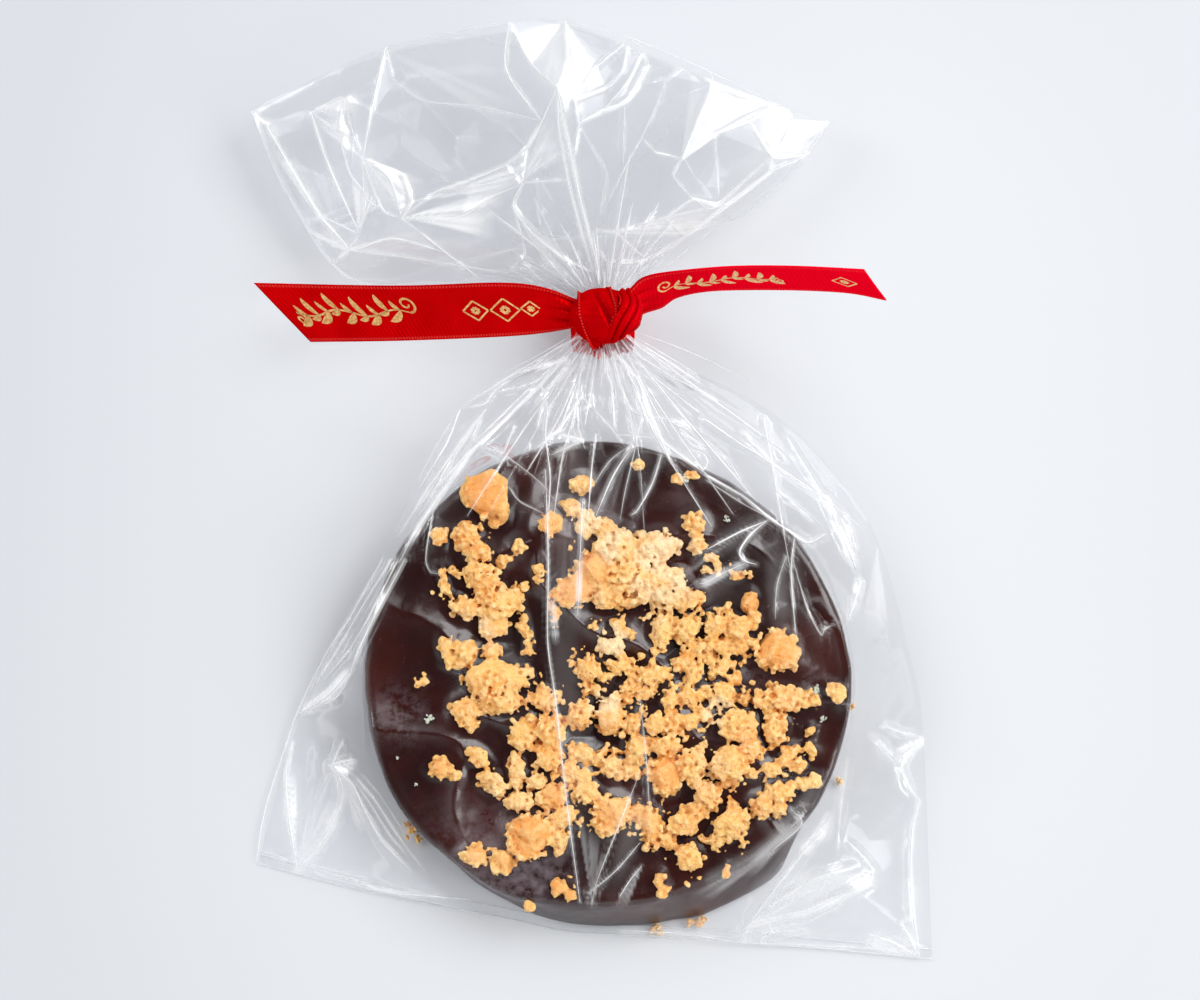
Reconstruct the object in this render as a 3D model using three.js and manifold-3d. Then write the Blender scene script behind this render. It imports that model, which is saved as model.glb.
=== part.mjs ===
// A round dark chocolate cookie topped with nougat crumbs, in a clear bag tied with a satin ribbon.
// It lies on its back. Millimetres, +Z up, +Y towards the bag's mouth, and the origin is on the
// table under the middle of the cookie.
import * as THREE from "three";
import { mergeVertices } from "three/addons/utils/BufferGeometryUtils.js";
import Module from "manifold-3d";

const wasm = await Module();
wasm.setup();

const COOKIE_HEIGHT = 12.5;
const CRUMB_SINK = 0.6; // how deep a crumb sits in the chocolate

// The hand-dipped round: angle in degrees, radius at the table, radius of the top's rim. Where the two
// lie far apart, chocolate ran out over the table in a foot.
const ROUND = [
  [-180, 42.8, 42.6], [-165, 42.6, 42.4], [-150, 42.4, 42.0], [-140, 42.1, 41.6], [-130, 41.7, 40.8],
  [-120, 42.0, 40.6], [-110, 42.4, 40.0], [-100, 42.9, 39.0], [-91, 43.1, 38.5], [-84, 43.3, 38.1],
  [-79, 43.5, 38.0], [-74, 43.4, 38.0], [-69, 44.6, 38.0], [-63, 44.4, 38.2], [-57, 44.7, 38.7],
  [-48, 45.3, 39.7], [-41, 43.3, 40.5], [-35, 42.6, 41.2], [-25, 42.7, 42.0], [-10, 42.7, 42.3],
  [0, 42.6, 42.4], [20, 42.3, 42.2], [35, 42.1, 42.0], [50, 41.6, 41.5], [65, 41.7, 41.6],
  [80, 42.2, 42.0], [92, 43.0, 42.8], [105, 43.6, 43.4], [120, 43.7, 43.5], [133, 43.6, 43.4],
  [147, 43.9, 43.7], [160, 43.2, 43.0], [170, 43.0, 42.8], [180, 42.8, 42.6],
];

const FILM_WALL = 0.6; // the bag's wall over the cookie
const FIT_GAP = 0.35; // between the cookie and the bag, and between the neck and the ribbon
const FILM_REST = 1.2; // the bag's outside over bare chocolate
const DRAPE_FLAT = 2.5; // the film stays level this far round a crumb heap,
const DRAPE_RUN = 8; // and comes down to the chocolate over this distance
const SHOULDER_DROP = 0.9; // the film is this much lower at the cookie's rounded edge
const HEM = 0.8; // thickness of the bag's edge

const NECK = { x: -0.9, y: 64.4, z: 7.2, radius: 4.6 };
const LOOP = { width: 6.8, thickness: 0.9 }; // the ribbon round the neck
const KNOT = { x: -1.1, y: 64.7, z: 14.2, size: [6.0, 4.7, 3.2] };
const RIBBON = 0.6; // thickness of the ribbon's tails

// The crumb heaps: x, y, length, width, turn in degrees, height.
const HEAPS = [
  [-20.2, 32.2, 8.4, 8.0, 0, 4.5],
  [-19.4, 29.6, 3.4, 3.0, 0, 2.0],
  [-29.1, 26.1, 4.4, 3.5, 0, 2.2],
  [-24.2, 23.5, 9.0, 5.5, -60, 3.0],
  [-20.9, 15.0, 13.0, 11.0, -30, 3.6],
  [-15.6, 10.4, 7.0, 2.8, -75, 2.0],
  [-25.2, 6.2, 8.0, 5.5, -20, 2.6],
  [-20.6, -1.2, 14.0, 12.5, 60, 4.6],
  [-11.3, -2.0, 5.5, 4.0, 20, 2.4],
  [-12.3, 20.0, 4.4, 2.0, 80, 1.6],
  [-10.0, 28.2, 4.4, 4.4, 0, 2.4],
  [-4.9, 34.8, 5.0, 4.4, 60, 2.6],
  [1.0, 21.0, 21.0, 12.0, -5, 5.0],
  [11.5, 17.0, 11.0, 7.0, -20, 4.0],
  [-4.0, 29.3, 9.0, 4.5, -30, 2.6],
  [15.6, 27.0, 8.5, 4.0, 95, 2.6],
  [24.4, 14.0, 5.0, 3.6, 100, 2.8],
  [29.6, 6.7, 8.3, 7.6, 60, 5.0],
  [16.5, 9.0, 18.0, 6.0, 5, 3.0],
  [-1.2, 5.5, 8.0, 4.0, 45, 2.0],
  [14.0, 1.5, 17.0, 8.0, -15, 2.6],
  [31.0, -2.6, 13.0, 6.5, 15, 4.0],
  [38.6, -0.7, 4.0, 3.2, 80, 2.0],
  [29.5, -8.0, 7.0, 4.5, 85, 3.0],
  [-8.0, -8.2, 16.0, 9.0, 15, 3.8],
  [-13.4, -14.6, 11.0, 5.5, 80, 3.0],
  [3.5, -9.0, 13.0, 8.0, -10, 3.4],
  [13.0, -14.2, 14.0, 9.5, 10, 4.4],
  [22.0, -11.0, 13.0, 9.0, 75, 4.0],
  [0.8, -19.9, 13.0, 9.5, 10, 4.4],
  [-8.8, -19.6, 9.0, 8.0, 40, 3.6],
  [-13.7, -26.1, 10.5, 8.5, -35, 4.8],
  [-20.6, -29.9, 10.0, 5.0, -5, 3.0],
  [-28.9, -14.2, 5.2, 4.0, 20, 2.6],
  [-21.4, -15.2, 9.0, 4.0, -55, 2.6],
  [9.5, -24.6, 12.0, 6.0, 10, 3.4],
  [25.4, -21.6, 15.0, 6.5, 33, 3.8],
  [14.4, -29.3, 5.6, 5.0, 30, 3.0],
  [-7.4, -35.0, 5.0, 4.0, -50, 2.4],
  [31.5, -15.4, 11.0, 3.6, 15, 2.2],
];

// The bag's outline on the table, from the neck round the left side, the seal and the right side.
const BAG_OUTLINE = [
  [-7.2, 59.8],
  [-25.6, 48.8],
  [-38.4, 25.1],
  [-49.6, 5.6],
  [-55.4, -9.5],
  [-61.8, -31.6],
  [-42.5, -36.9],
  [-12.0, -43.7],
  [4.0, -44.8],
  [26.7, -45.4],
  [57.2, -48.4],
  [56.5, -28.8],
  [55.6, -8.6],
  [53.3, 4.6],
  [47.7, 24.7],
  [40.7, 34.0],
  [27.5, 48.8],
  [5.6, 59.8],
];
const OUTLINE_STEPS = 88;

// The open end of the bag above the ribbon: its two side folds, as curves from the neck, and how far
// the mouth's edge bows out between their ends.
const FAN = {
  left: [[-6.1, 68.4], [-54.0, 66.5], [-62.5, 100.7]],
  right: [[4.3, 68.4], [27.0, 77.0], [38.9, 98.9]],
  bow: 16.6,
  height: 8.6, // of the mouth's middle line above the table
  opening: 7.4, // half the mouth's depth
  pleats: 5,
};
const FAN_ROWS = 9;
const FAN_STEPS = 44;

// The ribbon's tails, each between two edges that pass through these points, from the knot to the tip.
const TAIL_STEPS = 16;
const TAILS = {
  left: {
    top: [[-5, 67.4, 14.2], [-11.1, 69.5, 15.4], [-18.9, 70.4, 14.6], [-36.5, 70, 13], [-61.9, 70.5, 12]],
    bottom: [[-5, 62.8, 13.2], [-11, 61.8, 11.6], [-19, 61.1, 11.2], [-36.5, 60.4, 11.6], [-52, 60.2, 11]],
  },
  right: {
    top: [[3, 67.6, 15.2], [6.5, 70.5, 16.4], [21.4, 73, 16.6], [31.9, 73.3, 16], [45.6, 72.5, 14.5]],
    bottom: [[3, 62.9, 13], [7.4, 65.3, 9.8], [26.7, 69.1, 7.2], [38.9, 68.8, 6.6], [48.9, 67.7, 5.6]],
  },
};

// ---- Small helpers ----

const { degToRad, radToDeg, euclideanModulo, lerp, clamp, smoothstep } = THREE.MathUtils;

// Seeded draws, so that every build is the same.
function drawsFrom(seed) {
  let state = seed;
  return () => {
    state = (state * 1664525 + 1013904223) % 4294967296;
    return state / 4294967296;
  };
}

function weld(geometry) {
  geometry.deleteAttribute("normal");
  geometry.deleteAttribute("uv");
  return mergeVertices(geometry, 1e-4);
}

// Moves every vertex of a geometry by a function that changes the point it is given.
function reshape(geometry, move) {
  const position = geometry.getAttribute("position");
  const point = new THREE.Vector3();
  for (let i = 0; i < position.count; i++) {
    point.fromBufferAttribute(position, i);
    move(point);
    position.setXYZ(i, point.x, point.y, point.z);
  }
  return geometry;
}

// A profile of [radius, height] pairs turned about the Z axis.
function turned(profile, segments) {
  const points = profile.map(([radius, height]) => new THREE.Vector2(radius, height));
  return weld(new THREE.LatheGeometry(points, segments).rotateX(Math.PI / 2));
}

// A closed skin over rings of points, with a middle point at each end.
function skinned(rings) {
  const steps = rings[0].length;
  const middle = (ring) => ring.reduce((sum, p) => sum.add(p), new THREE.Vector3()).divideScalar(steps);
  const points = [...rings.flat(), middle(rings[0]), middle(rings[rings.length - 1])];
  const first = rings.length * steps;
  const faces = [];
  for (let k = 0; k < steps; k++) {
    const next = (k + 1) % steps;
    for (let row = 0; row + 1 < rings.length; row++) {
      const a = row * steps + k;
      const b = row * steps + next;
      faces.push(a, b, b + steps, a, b + steps, a + steps);
    }
    const last = (rings.length - 1) * steps;
    faces.push(first, next, k, first + 1, last + k, last + next);
  }
  const geometry = new THREE.BufferGeometry().setFromPoints(points);
  geometry.setIndex(faces);
  return geometry;
}

function solid(geometry) {
  const mesh = new wasm.Mesh({
    numProp: 3,
    vertProperties: geometry.getAttribute("position").array,
    triVerts: new Uint32Array(geometry.index.array),
  });
  const made = new wasm.Manifold(mesh);
  if (made.volume() > 0) return made;
  mesh.triVerts.reverse();
  return new wasm.Manifold(mesh);
}

function geometryOf(made) {
  const { vertProperties, triVerts } = made.getMesh();
  const geometry = new THREE.BufferGeometry();
  geometry.setAttribute("position", new THREE.BufferAttribute(vertProperties, 3));
  geometry.setIndex(new THREE.BufferAttribute(triVerts, 1));
  geometry.computeVertexNormals();
  return geometry;
}

function united(solids) {
  return solids.reduce((whole, next) => whole.add(next));
}

// ---- The cookie ----

// The cookie's radius at an angle, at the table and at the rim of its top.
function roundAt(angle) {
  const turn = euclideanModulo(radToDeg(angle) + 180, 360) - 180;
  const after = ROUND.findIndex(([degrees]) => degrees > turn);
  const [from, to] = [ROUND[after - 1], ROUND[after]];
  const share = smoothstep(turn, from[0], to[0]);
  return { table: lerp(from[1], to[1], share), rim: lerp(from[2], to[2], share) };
}

// The chocolate's top face, in slow waves.
function chocolateTop(x, y) {
  const waves = Math.sin(0.16 * x + 0.5) * Math.cos(0.13 * y - 0.4) + 0.6 * Math.sin(0.21 * y - 0.12 * x);
  return COOKIE_HEIGHT + 0.35 * waves;
}

function chocolate() {
  const height = COOKIE_HEIGHT;
  const profile = [
    [0, 0],
    [0.6, 0],
    [0.975, 0],
    [0.995, 0.7],
    [1, 2.2],
    [0.998, 0.5 * height],
    [0.99, 0.82 * height],
    [0.97, 0.94 * height],
    [0.925, height],
    [0.75, height],
    [0.5, height],
    [0.25, height],
    [0, height],
  ];
  return reshape(turned(profile, 56), (p) => {
    const share = Math.hypot(p.x, p.y);
    if (share === 0) {
      if (p.z > 0) p.z = chocolateTop(0, 0);
      return;
    }
    const angle = Math.atan2(p.y, p.x);
    const { table, rim } = roundAt(angle);
    const radius = share * lerp(table, rim, clamp(p.z / height, 0, 1) ** 1.5);
    p.x = radius * Math.cos(angle);
    p.y = radius * Math.sin(angle);
    if (p.z > 0.9 * height) p.z += chocolateTop(p.x, p.y) - height;
  });
}

// One heap of crumbs: a ragged dome on the chocolate, uneven in outline and height.
function heap([x, y, length, width, turn, height], draw) {
  const profile = [
    [0, -CRUMB_SINK],
    [1, -CRUMB_SINK],
    [0.98, 0.45 * height],
    [0.62, 0.9 * height],
    [0, height],
  ];
  const segments = Math.round(clamp(4 + (length + width) * 0.45, 6, 14));
  const along = degToRad(turn);
  const ragged = () => lerp(0.84, 1.1, draw());
  return reshape(turned(profile, segments), (p) => {
    const rise = p.z > 0 ? p.z * lerp(0.8, 1, draw()) : p.z;
    const spread = ragged();
    const u = 0.5 * length * p.x * spread;
    const v = 0.5 * width * p.y * spread;
    p.x = x + u * Math.cos(along) - v * Math.sin(along);
    p.y = y + u * Math.sin(along) + v * Math.cos(along);
    p.z = chocolateTop(p.x, p.y) + rise;
  });
}

// Loose crumbs between the heaps, on the side of the cookie where the topping is thick.
function looseCrumbs(draw) {
  const crumbs = [];
  const size = { least: 0.7, most: 1.3 };
  const field = { x: 9, y: -4, across: 27, along: 31 };
  while (crumbs.length < 34) {
    const angle = 2 * Math.PI * draw();
    const reach = Math.sqrt(draw());
    const radius = lerp(size.least, size.most, draw());
    const x = field.x + field.across * reach * Math.cos(angle);
    const y = field.y + field.along * reach * Math.sin(angle);
    const grain = weld(new THREE.IcosahedronGeometry(radius, 0));
    grain.rotateX(3 * draw()).rotateY(3 * draw());
    grain.translate(x, y, chocolateTop(x, y) + 0.45 * radius);
    crumbs.push(grain);
  }
  return crumbs;
}

function cookie() {
  const draw = drawsFrom(7);
  const toppings = [...HEAPS.map((one) => heap(one, draw)), ...looseCrumbs(draw)];
  return geometryOf(united([chocolate(), ...toppings].map(solid)));
}

// ---- The bag ----

// The outside of the film over the cookie: it lies on the tall crumbs, and slants down to the
// chocolate between them like a tent.
function filmOver(x, y) {
  let lift = 0;
  for (const [hx, hy, length, width, , height] of HEAPS) {
    const edge = Math.hypot(x - hx, y - hy) - 0.25 * (length + width) - DRAPE_FLAT;
    lift = Math.max(lift, height * (1 - smoothstep(edge, 0, DRAPE_RUN)));
  }
  return chocolateTop(x, y) + FILM_REST + lift;
}

// Points spread evenly along the outline, each side's corners among them.
function outlinePoints() {
  const corners = BAG_OUTLINE.map(([x, y]) => new THREE.Vector2(x, y));
  const sides = corners.map((corner, i) => [corner, corners[(i + 1) % corners.length]]);
  const round = sides.reduce((sum, [a, b]) => sum + a.distanceTo(b), 0);
  return sides.flatMap(([a, b]) => {
    const steps = Math.max(1, Math.round((a.distanceTo(b) / round) * OUTLINE_STEPS));
    return Array.from({ length: steps }, (_, i) => a.clone().lerp(b, i / steps));
  });
}

const bagEdge = outlinePoints();

// The bag's edge: on the table and thin at the seal, rising to the neck, where it opens out to meet it.
function hemAt(y) {
  const middle = lerp(0.5, NECK.z, smoothstep(y, -20, 56));
  const half = lerp(HEM / 2, NECK.radius + 0.3, smoothstep(y, 50, 59.5));
  return { low: Math.max(0, middle - half), high: middle + half };
}

// Gathers that run from the neck down to the cookie, deepest half way.
function gathers(x, y, share) {
  const angle = Math.atan2(x - NECK.x, NECK.y - y);
  return 1.1 * Math.cos(13 * angle) * Math.sin(Math.PI * share) * smoothstep(y, 10, 45);
}

// A ring over the cookie, at a share of the way out from its middle, some depth under the film's face.
function ringOver(share, depth) {
  return bagEdge.map((corner) => {
    const radius = share * (roundAt(corner.angle()).table + FIT_GAP);
    const x = radius * Math.cos(corner.angle());
    const y = radius * Math.sin(corner.angle());
    return new THREE.Vector3(x, y, filmOver(x, y) - SHOULDER_DROP * smoothstep(share, 0.9, 1) - depth);
  });
}

// A ring from the cookie's shoulder, at share 0, to the bag's edge, at share 1.
function ringOut(share, top) {
  const rim = ringOver(1, 0.3);
  return bagEdge.map((corner, i) => {
    const direction = corner.clone().normalize();
    const start = Math.hypot(rim[i].x, rim[i].y) + FILM_WALL;
    const at = direction.multiplyScalar(lerp(start, corner.length(), share));
    const { low, high } = hemAt(corner.y);
    const z = top ? lerp(rim[i].z, high, share) + gathers(at.x, at.y, share) : low * share ** 2;
    return new THREE.Vector3(at.x, at.y, z);
  });
}

const OVER_SHARES = [1, 0.9, 0.78, 0.66, 0.53, 0.4, 0.27, 0.14];

function bagBody() {
  const under = [0, 0.5, 1].map((share) => ringOut(share, false));
  const slope = [1, 0.72, 0.45, 0.2, 0].map((share) => ringOut(share, true));
  return skinned([...under, ...slope, ...OVER_SHARES.map((share) => ringOver(share, 0))]);
}

// The space that the cookie fills, open at the table.
function pocket() {
  const below = ringOver(1, 0).map((p) => new THREE.Vector3(p.x, p.y, -1));
  return skinned([below, ...OVER_SHARES.map((share) => ringOver(share, FILM_WALL))]);
}

// The neck: the film gathered into a bundle of pleats under the ribbon.
function neck() {
  const stations = [57, NECK.y, 69.6];
  const steps = 32;
  return skinned(
    stations.map((y) =>
      Array.from({ length: steps }, (_, k) => {
        const angle = (2 * Math.PI * k) / steps;
        const radius = NECK.radius * (k % 2 ? 0.92 : 1);
        return new THREE.Vector3(NECK.x + radius * Math.cos(angle), y, NECK.z + radius * Math.sin(angle));
      }),
    ),
  );
}

// The bag above the ribbon: two films that spread like a fan from the neck to an open mouth.
function fan() {
  const at = ([x, y]) => new THREE.Vector2(x, y);
  const side = (points) => new THREE.QuadraticBezierCurve(...points.map(at));
  const left = side(FAN.left);
  const right = side(FAN.right);
  const rings = Array.from({ length: FAN_ROWS + 1 }, (_, row) => {
    const out = row / FAN_ROWS;
    const a = left.getPoint(out);
    const b = right.getPoint(out);
    return Array.from({ length: FAN_STEPS }, (_, k) => {
      const angle = (2 * Math.PI * k) / FAN_STEPS;
      const across = Math.cos(angle);
      const { x, y } = a.clone().lerp(b, (1 - across) / 2);
      const bow = FAN.bow * out * (1 - Math.abs(across) ** 2.2);
      const middle = lerp(NECK.z, FAN.height, out);
      const depth = lerp(NECK.radius + 0.5, FAN.opening, out) * Math.sin(angle);
      const ripple = 0.9 * out * Math.cos(FAN.pleats * Math.PI * across) * (1 - across ** 4);
      return new THREE.Vector3(x, y + bow, Math.max(0.2, middle + depth + ripple));
    });
  });
  return skinned(rings);
}

function bag() {
  const whole = united([bagBody(), neck(), fan()].map(solid));
  return geometryOf(whole.subtract(solid(pocket())));
}

// ---- The ribbon ----

// The band that goes round the neck.
function loop() {
  const inner = NECK.radius + FIT_GAP;
  const outer = inner + LOOP.thickness;
  const half = LOOP.width / 2;
  const bulge = 0.3; // the band is rounded outwards a little between its edges
  const profile = [
    [inner, -half],
    [outer, bulge - half],
    [outer + bulge, 0],
    [outer, half - bulge],
    [inner, half],
    [inner, -half],
  ];
  const points = profile.map(([radius, y]) => new THREE.Vector2(radius, y));
  return weld(new THREE.LatheGeometry(points, 28)).translate(NECK.x, NECK.y, NECK.z);
}

// The knot on the front of the neck: a fat lump, creased where the ribbon crosses itself.
function knot() {
  const lump = weld(new THREE.IcosahedronGeometry(1, 4));
  return reshape(lump, (p) => {
    const crease = 1 - 0.12 * Math.exp(-((p.x - 0.25 + 0.4 * p.y) ** 2) / 0.02) * Math.max(0, p.z);
    const low = p.z < 0 ? 0.62 : 1;
    p.set(
      KNOT.x + KNOT.size[0] * p.x * crease,
      KNOT.y + KNOT.size[1] * p.y * (1 - 0.12 * p.x),
      KNOT.z + KNOT.size[2] * p.z * crease * low,
    );
  });
}

// One tail: a flat band between two edge curves, which end apart where it is cut on the slant.
function tail({ top, bottom }) {
  const curve = (points) => new THREE.CatmullRomCurve3(points.map((p) => new THREE.Vector3(...p)));
  const upper = curve(top);
  const lower = curve(bottom);
  const rings = Array.from({ length: TAIL_STEPS + 1 }, (_, i) => {
    const t = i / TAIL_STEPS;
    const a = upper.getPoint(t);
    const b = lower.getPoint(t);
    const along = upper.getTangent(t).add(lower.getTangent(t));
    const off = b.clone().sub(a).cross(along).setLength(RIBBON / 2);
    return [a.clone().add(off), a.clone().sub(off), b.clone().sub(off), b.clone().add(off)];
  });
  return skinned(rings);
}

function ribbon() {
  return geometryOf(united([loop(), knot(), tail(TAILS.left), tail(TAILS.right)].map(solid)));
}

// ---- The object ----

const materials = {
  cookie: new THREE.MeshStandardMaterial({ color: "#3a1f1b", roughness: 0.35 }),
  bag: new THREE.MeshStandardMaterial({ color: "#eef1f5", roughness: 0.08, transparent: true, opacity: 0.3 }),
  ribbon: new THREE.MeshStandardMaterial({ color: "#b9080c", roughness: 0.42 }),
};

function named(name, geometry, material) {
  const mesh = new THREE.Mesh(geometry, material);
  mesh.name = name;
  return mesh;
}

const part = new THREE.Group();
part.add(named("cookie", cookie(), materials.cookie));
part.add(named("bag", bag(), materials.bag));
part.add(named("ribbon", ribbon(), materials.ribbon));

export default part;
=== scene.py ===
"""A round dark chocolate cookie with nougat crumbs, in a clear bag tied with a satin ribbon.

Lengths are in millimetres, and become metres when a mesh is made. +Z is up, +Y runs to the bag's
mouth, and the origin is on the table under the middle of the cookie.
"""
import itertools
import math

import bpy
import numpy as np
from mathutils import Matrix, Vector
from mathutils.geometry import delaunay_2d_cdt
from mathutils.kdtree import KDTree


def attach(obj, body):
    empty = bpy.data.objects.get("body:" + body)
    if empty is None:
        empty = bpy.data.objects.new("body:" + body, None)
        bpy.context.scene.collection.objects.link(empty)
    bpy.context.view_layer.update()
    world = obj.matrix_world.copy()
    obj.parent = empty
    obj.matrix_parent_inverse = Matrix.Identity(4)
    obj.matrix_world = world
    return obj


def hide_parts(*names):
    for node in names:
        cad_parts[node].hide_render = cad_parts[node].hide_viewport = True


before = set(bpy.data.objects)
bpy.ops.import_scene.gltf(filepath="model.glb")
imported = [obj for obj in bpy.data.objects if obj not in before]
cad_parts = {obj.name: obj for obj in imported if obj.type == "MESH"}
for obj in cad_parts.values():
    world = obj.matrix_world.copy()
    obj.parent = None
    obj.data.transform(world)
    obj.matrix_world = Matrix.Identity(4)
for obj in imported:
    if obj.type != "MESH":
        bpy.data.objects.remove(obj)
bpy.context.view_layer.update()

MM = 0.001

# ---- Driving sizes ----

COOKIE_HEIGHT = 12.5
CHOCOLATE_LOW = 0.06  # the chocolate's underside
CRUMB_VOXEL = 0.23  # the fineness of the crumbs' skin
FILM_LOW = 0.03  # the film's lowest height

NECK = {"x": -0.9, "y": 64.4, "z": 7.2, "radius": 4.6}
NECK_FILM = NECK["radius"] - 0.2  # the gathered film's own radius, just inside the ribbon
KNOT = {"x": -1.1, "y": 64.7, "z": 14.2}

# ---- Whole-array maths ----


def lerp(a, b, t):
    """A point the share t of the way from a to b."""
    return a + (b - a) * t


def smoothstep(value, low, high):
    """0 below low, 1 above high, and an S curve between them."""
    t = np.clip((value - low) / (high - low), 0, 1)
    return t * t * (3 - 2 * t)


def scrambled(whole_numbers, seed):
    """Repeatable random numbers in 0..1, one for each row of whole numbers."""
    mixed = np.full(whole_numbers.shape[:-1], 2166136261 + 7919 * seed, dtype=np.uint64)
    for axis in range(whole_numbers.shape[-1]):
        mixed ^= whole_numbers[..., axis].astype(np.int64).astype(np.uint64) & np.uint64(0xFFFFFFFF)
        mixed = (mixed * np.uint64(2654435761)) & np.uint64(0xFFFFFFFF)
        mixed ^= mixed >> np.uint64(15)
    mixed = (mixed * np.uint64(2246822519)) & np.uint64(0xFFFFFFFF)
    mixed ^= mixed >> np.uint64(13)
    return mixed.astype(float) / 0xFFFFFFFF


def cloud(points, size, seed):
    """Smooth noise in -1..1: random numbers at the corners of a lattice of cells of this size,
    blended across each cell with S curves."""
    place = np.asarray(points, dtype=float) / size
    cell = np.floor(place)
    inside = place - cell
    weight = inside * inside * (3 - 2 * inside)
    total = np.zeros(place.shape[:-1])
    for corner in itertools.product((0, 1), repeat=place.shape[-1]):
        share = np.prod(np.where(corner, weight, 1 - weight), axis=-1)
        total += share * scrambled(cell + corner, seed)
    return 2 * total - 1


def clouds(points, size, seed, layers=3):
    """Layers of noise, each half as large and half as strong as the one before."""
    parts = [cloud(points, size / 2**k, seed + k) / 2**k for k in range(layers)]
    return sum(parts) / sum(1 / 2**k for k in range(layers))


def nearest_square(flat, spacing, seed):
    """Squared distance from each point of the plane to the nearest of a set of scattered sites, one
    to a square cell."""
    cell = np.floor(flat / spacing)
    best = np.full(flat.shape[:-1], np.inf)
    for step in itertools.product((-2, -1, 0, 1, 2), repeat=2):
        near = cell + step
        jitter = np.stack([scrambled(near, seed), scrambled(near, seed + 1)], axis=-1)
        best = np.minimum(best, np.sum((flat - (near + jitter) * spacing) ** 2, axis=-1))
    return best


def facets(across, along, spacing, stretch, seed):
    """Crumpled planes, about -1..1 high: the squared distance to one scattered set less that to
    another. The curved terms cancel, so each patch is a plane, and patches meet in straight creases.
    The patches are longer along than across."""
    flat = np.stack([across, along / stretch], axis=-1)
    apart = nearest_square(flat, spacing, seed) - nearest_square(flat, spacing, seed + 5)
    return apart / (0.5 * spacing**2)


def softened(grid, times=1):
    """A grid of numbers, each averaged with its neighbours this many times."""
    for _ in range(times):
        wide = np.pad(grid, 1, mode="edge")
        beside = wide[:-2, 1:-1] + wide[2:, 1:-1] + wide[1:-1, :-2] + wide[1:-1, 2:]
        grid = 0.5 * grid + 0.125 * beside
    return grid


def distance_along(points):
    """The distance from a line's first point to each of its points."""
    return np.concatenate([[0], np.cumsum(np.linalg.norm(np.diff(points, axis=0), axis=1))])


def along_path(points, shares):
    """Points at shares 0..1 of the length of a smooth curve (Catmull-Rom) through the given points."""
    points = np.asarray(points, dtype=float)
    ends = np.vstack([2 * points[0] - points[1], points, 2 * points[-1] - points[-2]])
    t = np.linspace(0, len(points) - 1 - 1e-9, 40 * len(points))
    piece = t.astype(int)
    u = (t - piece)[:, None]
    p0, p1, p2, p3 = (ends[piece + k] for k in range(4))
    curve = 0.5 * (2 * p1 + (p2 - p0) * u + (2 * p0 - 5 * p1 + 4 * p2 - p3) * u**2
                   + (3 * p1 - p0 - 3 * p2 + p3) * u**3)
    length = distance_along(curve)
    wanted = np.asarray(shares) * length[-1]
    return np.stack([np.interp(wanted, length, curve[:, k]) for k in range(points.shape[1])], axis=-1)


def unit(vectors):
    """Vectors of length 1."""
    return vectors / np.maximum(np.linalg.norm(vectors, axis=-1, keepdims=True), 1e-12)


def left_of(line):
    """Unit vectors to the left of a flat line's heading, one for each of its points."""
    heading = unit(np.gradient(line, axis=0))
    return np.stack([-heading[:, 1], heading[:, 0]], axis=1)


# ---- Meshes ----


def mesh_piece(name, vertices, faces, finish, fields=None, uv=None, smooth=True):
    """A Blender mesh from vertices in millimetres and faces of three or four corners each. fields
    gives numbers for each vertex, and uv a pair for each vertex."""
    faces = np.asarray(faces)
    corners = faces.shape[1]
    mesh = bpy.data.meshes.new(name)
    mesh.vertices.add(len(vertices))
    mesh.vertices.foreach_set("co", (np.asarray(vertices) * MM).astype(np.float32).ravel())
    mesh.loops.add(faces.size)
    mesh.loops.foreach_set("vertex_index", faces.astype(np.int32).ravel())
    mesh.polygons.add(len(faces))
    mesh.polygons.foreach_set("loop_start", np.arange(0, faces.size, corners, dtype=np.int32))
    mesh.polygons.foreach_set("use_smooth", np.full(len(faces), smooth))
    mesh.update(calc_edges=True)
    for field, values in (fields or {}).items():
        mesh.attributes.new(field, "FLOAT", "POINT").data.foreach_set(
            "value", np.asarray(values, dtype=np.float32).ravel())
    if uv is not None:
        layer = mesh.uv_layers.new(name="UVMap")
        layer.data.foreach_set("uv", np.asarray(uv, dtype=np.float32)[faces.ravel()].ravel())
    mesh.materials.append(finish)
    piece = bpy.data.objects.new(name, mesh)
    bpy.context.collection.objects.link(piece)
    return piece


def grid_faces(rows, columns, joined=False):
    """The quads of a grid of points. joined closes it from its last column back to its first."""
    number = np.arange(rows * columns).reshape(rows, columns)
    if joined:
        number = np.hstack([number, number[:, :1]])
    return np.stack([number[:-1, :-1], number[:-1, 1:], number[1:, 1:], number[1:, :-1]],
                    axis=-1).reshape(-1, 4)


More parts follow.
